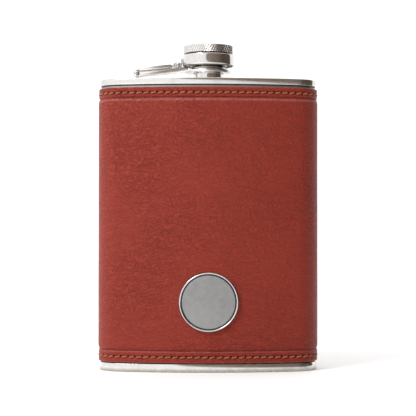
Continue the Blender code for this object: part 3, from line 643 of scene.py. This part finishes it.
def makeLeatherMaterial():
    main, dark, deep = leather["main"], leather["dark"], leather["deep"]
    material, tree, place = newMaterial("redBrownLeather", main, 0.46, Specular_IOR_Level=0.24)
    grain = useGroup(tree, pebbleGrain, Vector=place, Scale=1250.0)
    creases = useGroup(tree, longWrinkles, Vector=place, Scale=85.0, Width=0.030)["Creases"]
    wrinkles = useGroup(tree, shortWrinkles, Vector=place, Scale=340.0)
    clouds = mist(tree, place, 55.0, 5.0, 0.6)
    speckle = mist(tree, place, 900.0, 3.0, 0.7)
    colour = tinted(tree, main, ramp(tree, clouds, 0.35, 0.68), 0.16, dark)
    colour = tinted(tree, colour, ramp(tree, speckle, 0.45, 0.7), 0.22, leather["light"])
    colour = tinted(tree, colour, maths(tree, "SUBTRACT", 1.0, grain["Cells"]), 0.30, dark)
    # wrinkle valleys and long creases painted a little darker: painted shade
    colour = tinted(tree, colour, wrinkles["Valleys"], 0.07, deep)
    colour = tinted(tree, colour, creases, 0.07, deep)
    low, high = leather["low"], leather["high"]
    lowCrease, highCrease = low + leather["creaseLow"], high - leather["creaseHigh"]
    # painted shade in the hem creases, painted highlights on the padded rise below the top crease and on the
    # hem's upper edge below the bottom crease, and worn edges that also carry a painted highlight
    for height, reach, breakup, share, other in (
            (lowCrease, 0.5 * mm, 0.2, 0.55, deep), (highCrease, 0.5 * mm, 0.2, 0.55, deep),
            (highCrease - 1.0 * mm, 0.9 * mm, 0.35, 0.55, leather["shoulderHighlight"]),
            (lowCrease - 0.5 * mm, 0.4 * mm, 0.35, 0.45, leather["shoulderHighlight"]),
            (low, 0.6 * mm, 0.6, 0.5, leather["edge"]), (high, 0.6 * mm, 0.6, 0.5, leather["edge"])):
        colour = tinted(tree, colour, bandMask(tree, place, height, reach, breakup), share, other)
    # the needle holes are painted near black: painted shade in the holes
    hole = addNode(tree, "Attribute", attribute_name="needleHole").outputs["Fac"]
    colour = tinted(tree, colour, hole, 0.95, leather["hole"])
    rough = plus(tree, times(tree, clouds, 0.14), times(tree, grain["Cells"], -0.07))
    height = maths(tree, "SUBTRACT", times(tree, grain["Height"], 0.5), times(tree, creases, 0.7))
    height = plus(tree, height, times(tree, wrinkles["Height"], 1.6))
    return finishWith(material, colour, plus(tree, rough, 0.40, clamp=True), height, leather["bump"], 0.9)


print("leather")
leatherSleeve = paint(makeLeather(), makeLeatherMaterial())


# stitches
def makeStitch():
    # one stitch at the middle of the front, laid along X with its outward side towards -Y
    clearSelection()
    half = stitch["length"] / 2
    bpy.ops.mesh.primitive_cylinder_add(vertices=stitch["sides"], radius=stitch["radius"],
                                        depth=stitch["length"], location=(0, 0, 0),
                                        rotation=(0, quarterTurn, 0))
    piece = bpy.context.object
    bpy.ops.object.transform_apply(location=False, rotation=True, scale=False)
    setMode("EDIT")
    for share in (-0.88, -0.66, -0.25, 0.25, 0.66, 0.88):
        selectAll()
        bpy.ops.mesh.bisect(plane_co=(half * share, 0, 0), plane_no=(1, 0, 0))
    # the ends get thinner and dive into the leather
    for share, thin, dip in ((1.0, 0.55, 1.0), (0.88, 0.80, 0.55), (0.66, 0.96, 0.16)):
        for at in (-half * share, half * share):
            selectBy(piece, "VERT", lambda v: abs(v.co.x - at) < 0.01 * mm)
            bpy.ops.transform.resize(value=(1, thin, thin), center_override=(at, 0, 0))
            bpy.ops.transform.translate(value=(0, stitch["dip"] * dip, 0))
    selectAll()
    setMode("OBJECT")
    bpy.ops.transform.rotate(value=math.radians(stitch["slant"]), orient_axis="Y", center_override=(0, 0, 0))
    placeInMesh(piece)
    smooth(60)
    return piece


def makeStitches(name, height, material):
    first = makeStitch()
    copies = []
    for i in range(leather["stitches"]):
        point, way = sectionPlace(leather["grooveHalf"], stitchTravel(i))
        wobble = noise.noise(Vector((i * 1.7, height * 1000, 0.3)))
        copy = first.copy()
        copy.data = first.data.copy()
        place = Vector((point.x, point.y, height)) + Vector((way.x, way.y, 0)) * stitch["stand"]
        copy.matrix_world = (Matrix.Translation(place + Vector((0, 0, 0.05 * mm * wobble)))
                             @ Matrix.Rotation(math.atan2(way.x, -way.y), 4, "Z")
                             @ Matrix.Rotation(0.10 * wobble, 4, "Y") @ Matrix.Scale(1 + 0.05 * wobble, 4))
        bpy.context.scene.collection.objects.link(copy)
        copies.append(copy)
    bpy.data.objects.remove(first)
    onlySelect(copies[0])
    for copy in copies:
        copy.select_set(True)
    bpy.ops.object.join()
    row = bpy.context.object
    row.name = row.data.name = name
    placeInMesh(row)
    return paint(row, material)


def makeThreadMaterial():
    # waxed thread, twisted along its own length
    material, tree, place = newMaterial("waxedThread", stitch["light"], 0.55, Specular_IOR_Level=0.35)
    along = stretched(tree, addNode(tree, "TexCoord").outputs["UV"], (2, 9, 1))
    twist = addNode(tree, "TexWave", {"Vector": along, "Scale": 1.0, "Distortion": 0.6, "Detail": 1.0},
                    bands_direction="DIAGONAL").outputs["Fac"]
    colour = mixColours(tree, ramp(tree, twist, 0.15, 0.75), stitch["dark"], stitch["light"])
    tone = ramp(tree, mist(tree, place, 210.0, 2.0), 0.4, 0.66)
    colour = tinted(tree, colour, tone, 0.4, stitch["stained"])
    height = plus(tree, twist, times(tree, mist(tree, place, 4000.0, 3.0), 0.3))
    return finishWith(material, colour, None, height, 0.06 * mm, 0.8)


print("stitches")
threadMaterial = makeThreadMaterial()
topStitches = makeStitches("top_stitches", stitchHeights[1], threadMaterial)
bottomStitches = makeStitches("bottom_stitches", stitchHeights[0], threadMaterial)


# steel container
container = {
    "steps": (48, 40, 72),
    "panInner": 11.1 * mm,
    "rim": 2.75 * mm,
    "footRim": 3.4 * mm,
    "plate": 0.7 * mm,
    "edge": 0.8 * mm,
    "taper": 0.26 * mm,        # the base pan's skirt is narrower at its upper edge
    "sleeveHalf": 11.0 * mm,
    "sleeveWall": 0.6 * mm,
    "holeRadius": 6.5 * mm,
    "footWidth": 2.0 * mm,
    "recess": 1.8 * mm,
    "foamInner": 11.1 * mm,
    "foamOuter": 11.5 * mm,
    "foamSoft": 0.35 * mm,
}


def makeSleeve():
    low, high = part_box("body_shell")
    out, wall = container["sleeveHalf"], container["sleeveWall"]
    line = softLine([(out, low.z, 0), (out, high.z, 0), (out - wall, high.z, 0), (out - wall, low.z, 0)])
    return settle(swept("steel_sleeve", line, container["steps"]))


def makePan(name, corners, steps, flats, hole=None):
    # an open line swept round the section, closed by two flat faces and cut by the hole
    piece = swept(name, softLine(corners, steps), container["steps"], closed=False)
    mergeAll()
    for height in flats:
        selectRim(piece, height)
        bpy.ops.mesh.edge_face_add()
    settle(piece, 30)
    if hole:
        clearSelection()
        bpy.ops.mesh.primitive_cylinder_add(vertices=96, radius=hole, depth=4 * mm, location=neckFoot)
        cutter = bpy.context.object
        useModifier(piece, "BOOLEAN", operation="DIFFERENCE", object=cutter, solver="EXACT")
        bpy.data.objects.remove(cutter)
    useModifier(piece, "TRIANGULATE", quad_method="BEAUTY", ngon_method="BEAUTY", min_vertices=5)
    smooth(30)
    return piece


def makeTopPan():
    out, inner = section["panHalf"], container["panInner"]
    skirt = shoulder - container["rim"]
    under = shoulder - container["plate"]
    corners = [
        (inner - 0.5 * mm, under, 0), (inner, under, 0.3 * mm), (inner, skirt, 0.06 * mm),
        (out - 0.20 * mm, skirt, 0.12 * mm), (out - 0.02 * mm, shoulder - 1.0 * mm, 0.3 * mm),
        (out, shoulder - 0.02 * mm, container["edge"]), (out - 1.3 * mm, shoulder, 0),
    ]
    return makePan("top_pan", corners, 6, (under, shoulder), container["holeRadius"])


def makeBasePan():
    out, inner = section["panHalf"], container["panInner"]
    rim, plate, recess = container["footRim"], container["plate"], container["recess"]
    riserOut = out - container["footWidth"]
    riserIn = riserOut + 0.55 * mm
    corners = [
        (riserIn - 0.7 * mm, recess + plate, 0), (riserIn, recess + plate, 0.4 * mm),
        (riserIn, plate, 0.1 * mm), (inner, plate, 0.1 * mm), (inner, rim, 0.05 * mm),
        (out - container["taper"], rim, 0.10 * mm), (out - 0.06 * mm, rim - 1.2 * mm, 0.6 * mm),
        (out, 0.75 * mm, 0.5 * mm), (out - 0.05 * mm, 0.0, 0.5 * mm), (riserOut + 0.1 * mm, 0.0, 0.3 * mm),
        (riserOut, recess, 0.5 * mm), (riserOut - 1.1 * mm, recess, 0),
    ]
    return makePan("base_pan", corners, 5, (recess + plate, recess))


def makeFoam():
    low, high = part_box("wrap_padding")
    inner, outer, soft = container["foamInner"], container["foamOuter"], container["foamSoft"]
    line = softLine([(inner, low.z, 0), (inner, high.z, 0), (outer - 0.1 * mm, high.z, soft),
                     (outer, high.z - 1.6 * mm, soft), (outer, low.z + 1.6 * mm, soft),
                     (outer - 0.1 * mm, low.z, soft)])
    return settle(swept("foam_lining", line, container["steps"]), 60)


def makeFoamMaterial():
    material, tree, place = newMaterial("softFoam", (0.30, 0.29, 0.27), 0.9, Sheen_Weight=0.3)
    pores = addNode(tree, "TexVoronoi", {"Vector": place, "Scale": 2600.0}).outputs["Distance"]
    colour = mixColours(tree, ramp(tree, pores, 0.1, 0.6), (0.12, 0.115, 0.11), (0.36, 0.35, 0.33))
    return finishWith(material, colour, None, pores, 0.1 * mm, 0.8)


print("container")
steelSleeve = paint(makeSleeve(), sleeveSteel)
topPan = paint(makeTopPan(), panSteel)
basePan = paint(makeBasePan(), panSteel)
foamLining = paint(makeFoam(), makeFoamMaterial())

# medallion
bezelLow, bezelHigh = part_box("medallion_bezel")
medallion = {
    "centreZ": (bezelLow.z + bezelHigh.z) / 2,
    "frontY": bezelLow.y,
    "radius": 12.7 * mm,
    "ring": 0.8 * mm,
    "stand": 1.4 * mm,
    "floor": 0.55 * mm,
    "discRadius": 11.82 * mm,
    "discFront": 1.08 * mm,
    "discBack": 0.6 * mm,
    "backGap": 0.05 * mm,
    "backStep": 0.25 * mm,
    "padHole": 11.1 * mm,
    "groove": 0.40 * mm,        # round the disc's face
    "steps": 128,
}


def bendBack(piece, reach):
    # bends the back of a medallion piece to the bowed leather
    radius = section["bowRadius"] + leather["panelHalf"]
    backY = medallion["frontY"] + medallion["stand"] - medallion["backGap"]
    for v in piece.data.vertices:
        if v.co.y > backY - reach:
            v.co.y += radius - math.sqrt(radius ** 2 - v.co.x ** 2)


def makeMedallion():
    centre = Vector((0, medallion["frontY"] + medallion["stand"], medallion["centreZ"]))
    out, ring, stand, floor = (medallion[key] for key in ("radius", "ring", "stand", "floor"))
    gap, step, hole = medallion["backGap"], medallion["backStep"], medallion["padHole"]
    bezelCorners = [
        (0, floor, 0), (out - ring - 0.12 * mm, floor, 0.05 * mm), (out - ring, floor + 0.1 * mm, 0.05 * mm),
        (out - ring, stand - 0.30 * mm, 0.1 * mm), (out - ring * 0.72, stand, 0.28 * mm),
        (out - ring * 0.25, stand, 0.25 * mm), (out - 0.02 * mm, stand - 0.42 * mm, 0.30 * mm),
        (out, 0.5 * mm, 0.1 * mm), (out, gap, 0), (hole, gap, 0), (hole, step, 0), (0, step, 0),
    ]
    front, back, radius = medallion["discFront"], medallion["discBack"], medallion["discRadius"]
    groove = medallion["groove"]
    discCorners = [
        (0, front, 0), (radius - groove - 0.10 * mm, front, 0.08 * mm),
        (radius - groove, back + 0.12 * mm, 0.05 * mm), (radius, back + 0.12 * mm, 0.02 * mm),
        (radius, back, 0), (0, back, 0),
    ]
    rim = turned("medallion_rim", softLine(bezelCorners, 5), centre, (0, -1, 0), medallion["steps"], False)
    face = turned("medallion_face", softLine(discCorners), centre, (0, -1, 0), medallion["steps"], False)
    bendBack(rim, 0.06 * mm)
    return rim, face


def makeDiscMaterial():
    # matt grey face with fine brushing and soft mottling, and painted shade in the border groove
    material, tree, place = newMaterial("mattDisc", (0.25, 0.25, 0.25), 0.5, 1.0)
    lines = mist(tree, stretched(tree, place, (260, 900, 5200)), 1.0, 3.0, 0.6)
    mottle = mist(tree, place, 420.0, 4.0, 0.65)
    broad = ramp(tree, mist(tree, place, 85.0, 2.0), 0.35, 0.65)
    colour = mixColours(tree, ramp(tree, mottle, 0.3, 0.7), (0.280, 0.281, 0.282), (0.350, 0.350, 0.351))
    colour = tinted(tree, colour, broad, 0.35, (0.40, 0.40, 0.401))
    colour = tinted(tree, colour, lines, 0.35, (0.265, 0.265, 0.266))
    fromCentre = addNode(tree, "VectorMath", {0: place, 1: (0, medallion["frontY"], medallion["centreZ"])},
                         operation="DISTANCE").outputs["Value"]
    inner = medallion["discRadius"] - medallion["groove"]
    # the groove round the face is painted near black: painted shade
    colour = mixColours(tree, ramp(tree, fromCentre, inner, inner + 0.14 * mm), colour, (0.035, 0.034, 0.033))
    return finishWith(material, colour, plus(tree, times(tree, mottle, 0.2), 0.42), lines, 0.004 * mm, 0.7)


print("medallion")
bezel, disc = makeMedallion()
paint(bezel, bezelSteel)
paint(disc, makeDiscMaterial())

# neck, thread and cap; heights are above the shoulder
screw = {
    "neckRadius": 6.4 * mm,
    "lip": 11.8 * mm,
    "flange": 9.0 * mm,
    "beadLow": 4.2 * mm,
    "beadTop": 5.7 * mm,
    "beadOut": 7.5 * mm,
    "bore": 5.2 * mm,
    "pitch": 1.6 * mm,
    "depth": 0.6 * mm,
    "play": 0.2 * mm,
    "low": 7.2 * mm,
    "high": 11.4 * mm,
    "fade": 0.5 * mm,
    "rows": 42,
    "steps": 96,
}


def threadRows():
    high, rows = screw["high"], screw["rows"]
    return [high + (screw["low"] - high) * i / rows for i in range(rows + 1)]


def cutThread(piece, base, inside):
    # moves the rows between the thread's ends out or in along a rounded right-hand screw line
    for v in piece.data.vertices:
        x, y, z = v.co - neckFoot
        radius = math.hypot(x, y)
        if abs(radius - base) > 0.01 * mm or not screw["low"] - 1e-6 < z < screw["high"] + 1e-6:
            continue
        turns = z / screw["pitch"] - math.atan2(y, x) / (2 * math.pi)
        wave = 0.5 - 0.5 * math.cos(2 * math.pi * turns)
        fade = max(0.0, min(1.0, min(z - screw["low"], screw["high"] - z) / screw["fade"]))
        grown = base - screw["depth"] * fade * (1 - wave) if inside else base + screw["depth"] * fade * wave
        v.co.x, v.co.y = v.co.x * grown / radius, neckAxis.y + y * grown / radius


def makeNeck():
    radius, bore, lip = screw["neckRadius"], screw["bore"], screw["lip"]
    line = [(bore, lip - 0.25 * mm), (bore + 0.12 * mm, lip - 0.07 * mm), (bore + 0.35 * mm, lip),
            (radius - 0.35 * mm, lip), (radius - 0.10 * mm, lip - 0.09 * mm), (radius, lip - 0.3 * mm)]
    line += [(radius, z) for z in threadRows()]
    middle, reach = (screw["beadLow"] + screw["beadTop"]) / 2, (screw["beadTop"] - screw["beadLow"]) / 2
    for i in range(13):
        angle = quarterTurn - math.pi * i / 12
        bulge = (screw["beadOut"] - radius) * math.cos(angle)
        line.append((radius + bulge, middle + reach * math.sin(angle)))
    flangeTop, flange = -container["plate"] - 0.1 * mm, screw["flange"]
    flangeLow = flangeTop - 0.8 * mm
    line += [(radius, 2.0 * mm), (radius, 0.25 * mm), (radius, flangeTop), (flange, flangeTop),
             (flange, flangeLow), (bore, flangeLow)]
    piece = turned("spout", line, steps=screw["steps"])
    cutThread(piece, radius, False)
    return piece


def makeInsert():
    bore = screw["neckRadius"] + screw["depth"] + screw["play"]
    out, flange = 8.2 * mm, 9.4 * mm
    pocket, top, step, low = bore + 0.1 * mm, 12.9 * mm, 11.7 * mm, 5.95 * mm
    line = softLine([(pocket, top, 0), (out, top, 0.1 * mm), (out, 9.8 * mm, 0), (flange, 9.8 * mm, 0.1 * mm),
                     (flange, 9.2 * mm, 0.1 * mm), (out, 9.2 * mm, 0), (out, low, 0.15 * mm),
                     (bore + 0.1 * mm, low, 0.1 * mm), (bore, low + 0.2 * mm, 0)], 3)
    line += [(bore, z) for z in threadRows()[::-1]]
    line += [(bore, step), (pocket, step)]
    piece = turned("cap_core", line, steps=screw["steps"])
    cutThread(piece, bore, True)
    return piece


collar = {"radius": 11.3 * mm, "wall": 0.8 * mm, "low": 5.8 * mm, "high": 10.7 * mm, "bore": 8.4 * mm,
          "crown": 0.11 * mm}


def makeCollar():
    out, low, high, wall = collar["radius"], collar["low"], collar["high"], collar["wall"]
    middle, reach = (low + high) / 2, (high - low) / 2 - 0.35 * mm
    wallLine = []
    for i in range(11):
        share = 1 - i / 5        # from the upper edge down, a little barrel-shaped
        wallLine.append((out - collar["crown"] * share ** 2, middle + reach * share, 0))
    corners = [
        (collar["bore"], high - wall / 2, 0), (collar["bore"], high, 0.15 * mm),
        (out - 0.45 * mm, high, 0.30 * mm), (out - 0.20 * mm, high - 0.12 * mm, 0.2 * mm), *wallLine,
        (out - 0.28 * mm, low, 0.15 * mm), (out - wall, low, 0.20 * mm), (out - wall, high - wall, 0.5 * mm),
        (collar["bore"], high - wall, 0.1 * mm), (collar["bore"], high - wall / 2, 0),
    ]
    return turned("cap_collar", softLine(corners)[:-1], steps=128)


grip = {
    "radius": 10.9 * mm,
    "low": 11.1 * mm,
    "high": 14.7 * mm,
    "diamonds": 58,
    "rows": 6,
    "deep": 0.25 * mm,        # the grooves that rise to the right
    "shallow": 0.11 * mm,
    "edge": 0.25 * mm,
    "pocket": 8.3 * mm,
    "ceiling": 13.0 * mm,
    "last": 0.6 * mm,        # the small ring that the last face closes
}


def makeGrip():
    # a cylinder wall with two sets of slanting grooves cut in, one deeper than the other
    low, high = shoulder + grip["low"] + grip["edge"], shoulder + grip["high"] - grip["edge"]
    columns, rows = grip["diamonds"] * 4, grip["rows"]
    clearSelection()
    bpy.ops.mesh.primitive_cylinder_add(vertices=columns, radius=grip["radius"], depth=high - low,
                                        end_fill_type="NOTHING",
                                        location=neckAxis + Vector((0, 0, (low + high) / 2)))
    piece = bpy.context.object
    piece.name = piece.data.name = "cap_grip"
    setMode("EDIT")
    for height in [low + (high - low) * i / rows for i in range(1, rows)]:
        selectAll()
        bpy.ops.mesh.bisect(plane_co=(0, 0, height), plane_no=(0, 0, 1))
    bm = bmesh.from_edit_mesh(piece.data)

    def gridPlace(v):
        at = v.co + piece.location - neckAxis
        return (round(math.atan2(at.x, -at.y) / (2 * math.pi) * columns),
                round((at.z - low) / (high - low) * rows))

    for face in list(bm.faces):
        spots = {v: gridPlace(v) for v in face.verts}
        for first in face.verts:
            for other in face.verts:
                step = (spots[other][0] - spots[first][0]) % columns, spots[other][1] - spots[first][1]
                if step == (1, 1):
                    corners = (face, first, other)
        bmesh.utils.face_split(*corners)
    groove = (1.0, 0.5, 0.0, 0.5)
    # a mask of the deep grooves, where the grip's material paints shade
    shadeLayer = bm.verts.layers.float.new("grooveShade")
    for v in bm.verts:
        column, row = gridPlace(v)
        cut = max(grip["deep"] * groove[(column - row) % 4], grip["shallow"] * groove[(column + row) % 4])
        at = v.co + piece.location - neckAxis
        v[shadeLayer] = max(0.0, cut / grip["deep"] * 2 - 1)
        shrink = 1 - cut / grip["radius"]
        v.co.x, v.co.y = at.x * shrink, at.y * shrink        # the piece's own middle is on the neck's axis
    bmesh.update_edit_mesh(piece.data)

    def closeUp(start, rings):
        # draws an open edge in, ring by ring, and closes what is left with a face
        selectRim(piece, start)
        for radius, height in rings:
            bpy.ops.mesh.extrude_edges_move()
            bm = bmesh.from_edit_mesh(piece.data)
            for v in bm.verts:
                if v.select:
                    at = v.co + piece.location - neckAxis
                    way = Vector((at.x, at.y, 0)).normalized()
                    v.co = neckFoot + way * radius + Vector((0, 0, height)) - piece.location
            bmesh.update_edit_mesh(piece.data)
        bpy.ops.mesh.edge_face_add()

    out, top, foot, pocket, last = (grip[key] for key in ("radius", "high", "low", "pocket", "last"))
    closeUp(high, ((out - 0.30 * mm, top - 0.14 * mm), (out - 0.45 * mm, top - 0.07 * mm),
                   (out - 0.75 * mm, top - 0.05 * mm), (out - 2.2 * mm, top - 0.02 * mm),
                   (out - 5.5 * mm, top), (last, top)))
    closeUp(low, ((out - 0.30 * mm, foot + 0.10 * mm), (out - 0.50 * mm, foot), (pocket + 0.15 * mm, foot),
                  (pocket, foot + 0.15 * mm), (pocket, grip["ceiling"]), (last, grip["ceiling"])))
    return settle(piece, 22)


def makeSeal():
    low, high, out, soft = 11.9 * mm, 12.9 * mm, 7.2 * mm, 0.12 * mm
    line = softLine([(0, high, 0), (out, high, soft), (out, low, soft), (0, low, 0)], 3)
    return turned("cap_gasket", line, steps=72, closed=False)


def makeRubber():
    material, tree, place = newMaterial("sealRubber", (0.035, 0.034, 0.033), 0.6, Specular_IOR_Level=0.3)
    dust = mist(tree, place, 2400.0, 4.0)
    colour = mixColours(tree, ramp(tree, dust, 0.35, 0.7), (0.028, 0.027, 0.026), (0.06, 0.058, 0.056))
    return finishWith(material, colour, plus(tree, times(tree, dust, 0.2), 0.5), dust, 0.03 * mm, 0.6)


print("neck and cap")
spout = paint(makeNeck(), capSteel)
capCore = paint(makeInsert(), satinSteel)
capCollar = paint(makeCollar(), capSteel)
capGrip = paint(makeGrip(), gripSteel)
capGasket = paint(makeSeal(), makeRubber())

# hinged arm
rivets = {
    "far_rivet": {"node": "far_hinge_pin", "radius": 0.6 * mm, "head": 1.1 * mm},
    "near_rivet": {"node": "near_hinge_pin", "radius": 0.45 * mm, "head": 0.95 * mm},
    "headThick": 0.4 * mm,
}


def makeRivet(name):
    low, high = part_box(rivets[name]["node"])
    radius, head, thick = rivets[name]["radius"], rivets[name]["head"], rivets["headThick"]
    half = (high.y - low.y) / 2
    upper = [(0, half, 0), (head * 0.62, half, 0.2 * mm), (head * 0.98, half - thick * 0.55, 0.2 * mm),
             (head, half - thick, 0.05 * mm), (radius, half - thick, 0.03 * mm)]
    lower = [(across, -up, soft) for across, up, soft in upper[::-1]]
    return turned(name, softLine(upper + lower), (low + high) / 2, (0, 1, 0), 40, closed=False)


print("arm")
lowerArm = paint(cadCopy("lower_channel", "lower_arm", 0.12 * mm), armSteel)
upperArm = paint(cadCopy("upper_channel", "upper_arm", 0.12 * mm), armSteel)
collarEar = paint(cadCopy("collar_ear", "band_ear", 0.08 * mm), armSteel)
farRivet = paint(makeRivet("far_rivet"), satinSteel)
nearRivet = paint(makeRivet("near_rivet"), satinSteel)

# the adhesive pad keeps its CAD shape
padMaterial, padTree, padPlace = newMaterial("gluePad", (0.62, 0.60, 0.55), 0.55)
padGrain = mist(padTree, padPlace, 1500.0, 4.0)
finishWith(padMaterial, mixColours(padTree, padGrain, (0.50, 0.48, 0.44), (0.70, 0.68, 0.63)), None, padGrain,
           0.04 * mm, 0.5)
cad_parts["medallion_pad"].data.materials[0] = padMaterial

# which body each piece rides on, what it stands for and its finish
riders = [
    (leatherSleeve, "flask", "leather_wrap", "leather"),
    (topStitches, "flask", "top_stitching", "thread"),
    (bottomStitches, "flask", "bottom_stitching", "thread"),
    (steelSleeve, "flask", "body_shell", "satin_steel"),
    (topPan, "flask", "top_plate", "polished_steel"),
    (basePan, "flask", "base_plate", "polished_steel"),
    (foamLining, "flask", "wrap_padding", "foam"),
    (bezel, "flask", "medallion_bezel", "polished_steel"),
    (disc, "flask", "medallion_disc", "brushed_disc"),
    (spout, "flask", "neck", "polished_steel"),
    (capGasket, "seal", "cap_seal", "seal_rubber"),
    (capCore, "cap", "cap_insert", "satin_steel"),
    (capGrip, "cap", "cap_head", "polished_steel"),
    (capCollar, "band", "cap_band", "polished_steel"),
    (collarEar, "band", "band_ear", "polished_steel"),
    (lowerArm, "lower_arm", "lower_arm", "polished_steel"),
    (farRivet, "lower_arm", "far_hinge_pin", "satin_steel"),
    (upperArm, "upper_arm", "upper_arm", "polished_steel"),
    (nearRivet, "upper_arm", "near_hinge_pin", "satin_steel"),
]
for piece, body, node, finish in riders:
    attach(piece, body)
    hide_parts(node)

# floor, light and camera
studio = {
    "floor": 3.0,
    "floorGap": 0.1 * mm,
    "floorGlow": 0.04,
    "skyStrength": 1.26,
    "keyPlace": (-0.42, -0.40, 0.60),
    "keyAim": (0, 0, 0.08),
    "keySize": 0.26,
    "keyPower": 3.7,
    "cardReach": 0.75,
    "cardFrom": -12.0,
    "cardTo": 112.0,
    "cardEye": 0.226,        # the height that the cap reflects
    "cardFoot": 2 * mm,
    "cardTop": 0.80,
    "cardCurveLow": 65.0,        # how far round the card's lower and upper edges take to open out
    "cardCurveHigh": 35.0,
}
view = {"lens": 116.34, "sensor": 36, "away": 0.585, "height": 0.0628, "shift": -0.12 * mm, "aside": -0.8,
        "tilt": 0.73, "roll": 0.05}


def makeFloor():
    clearSelection()
    bpy.ops.mesh.primitive_plane_add(size=studio["floor"], location=(0, 0, -studio["floorGap"]))
    floor = bpy.context.object
    floor.name = "floor"
    material, tree, place = newMaterial("paleFloor", (0.93, 0.93, 0.93), 0.6, Emission_Color=(1, 1, 1, 1),
                                        Emission_Strength=studio["floorGlow"])
    clouds = mist(tree, place, 3.0, 2.0)
    finishWith(material, mixColours(tree, clouds, (0.92, 0.92, 0.92), (0.94, 0.94, 0.94)))
    paint(floor, material)


def makeCard():
    # a dark flag round the right, behind the camera, for the steel to reflect
    start, end = math.radians(studio["cardFrom"]), math.radians(studio["cardTo"])
    reach, eye, foot, top = (studio[key] for key in ("cardReach", "cardEye", "cardFoot", "cardTop"))
    x, y = reach * math.sin(start), -reach * math.cos(start)
    card = drawLine("dark_card", [(x, y, foot), (x, y, foot + top)])
    bpy.ops.mesh.spin(steps=72, angle=end - start, center=(0, 0, 0), axis=(0, 0, -1))
    setMode("OBJECT")
    placeInMesh(card)
    for v in card.data.vertices:
        around = math.degrees(math.atan2(v.co.x, -v.co.y)) - studio["cardFrom"]
        curve = studio["cardCurveHigh"] if v.co.z > eye else studio["cardCurveLow"]
        opened = math.sqrt(1 - (1 - min(1.0, max(0.0, around) / curve)) ** 2)
        v.co.z = eye + (v.co.z - eye) * opened
    material, tree, place = newMaterial("darkCard", (0.04, 0.033, 0.028), 0.9, Specular_IOR_Level=0.0)
    across = addNode(tree, "SeparateXYZ", {0: place}).outputs["X"]
    near = mixColours(tree, ramp(tree, across, -0.15, 0.40), (0.27, 0.225, 0.185), (0.185, 0.150, 0.124))
    finishWith(material, mixColours(tree, ramp(tree, across, 0.40, 0.70), near, (0.085, 0.067, 0.050)))
    paint(card, material)
    card.visible_camera = False


def makeKey():
    # a soft square light from the upper left
    light = bpy.data.lights.new("key", "AREA")
    light.shape, light.size, light.energy = "SQUARE", studio["keySize"], studio["keyPower"]
    lamp = bpy.data.objects.new("key", light)
    lamp.location = studio["keyPlace"]
    lamp.rotation_mode = "QUATERNION"
    aim = Vector(studio["keyAim"]) - Vector(studio["keyPlace"])
    lamp.rotation_quaternion = aim.to_track_quat("-Z", "Y")
    bpy.context.scene.collection.objects.link(lamp)


def makeSky():
    world = bpy.data.worlds.new("whiteRoom")
    world.use_nodes = True
    back = world.node_tree.nodes["Background"]
    back.inputs["Color"].default_value = (1, 1, 1, 1)
    back.inputs["Strength"].default_value = studio["skyStrength"]
    bpy.context.scene.world = world


def makeCamera():
    camera = bpy.data.objects.new("camera", bpy.data.cameras.new("camera"))
    camera.data.lens = view["lens"]
    camera.data.sensor_width = view["sensor"]
    camera.data.clip_start = 0.01
    bpy.context.scene.collection.objects.link(camera)
    camera.matrix_world = (Matrix.Translation((view["shift"], section["middleY"], view["height"]))
                           @ Matrix.Rotation(math.radians(view["aside"]), 4, "Z")
                           @ Matrix.Translation((0, -view["away"], 0))
                           @ Matrix.Rotation(math.radians(90 + view["tilt"]), 4, "X")
                           @ Matrix.Rotation(math.radians(view["roll"]), 4, "Z"))
    bpy.context.scene.camera = camera


print("studio")
makeFloor()
makeCard()
makeSky()
makeKey()
makeCamera()
bpy.context.scene.view_settings.view_transform = "Standard"
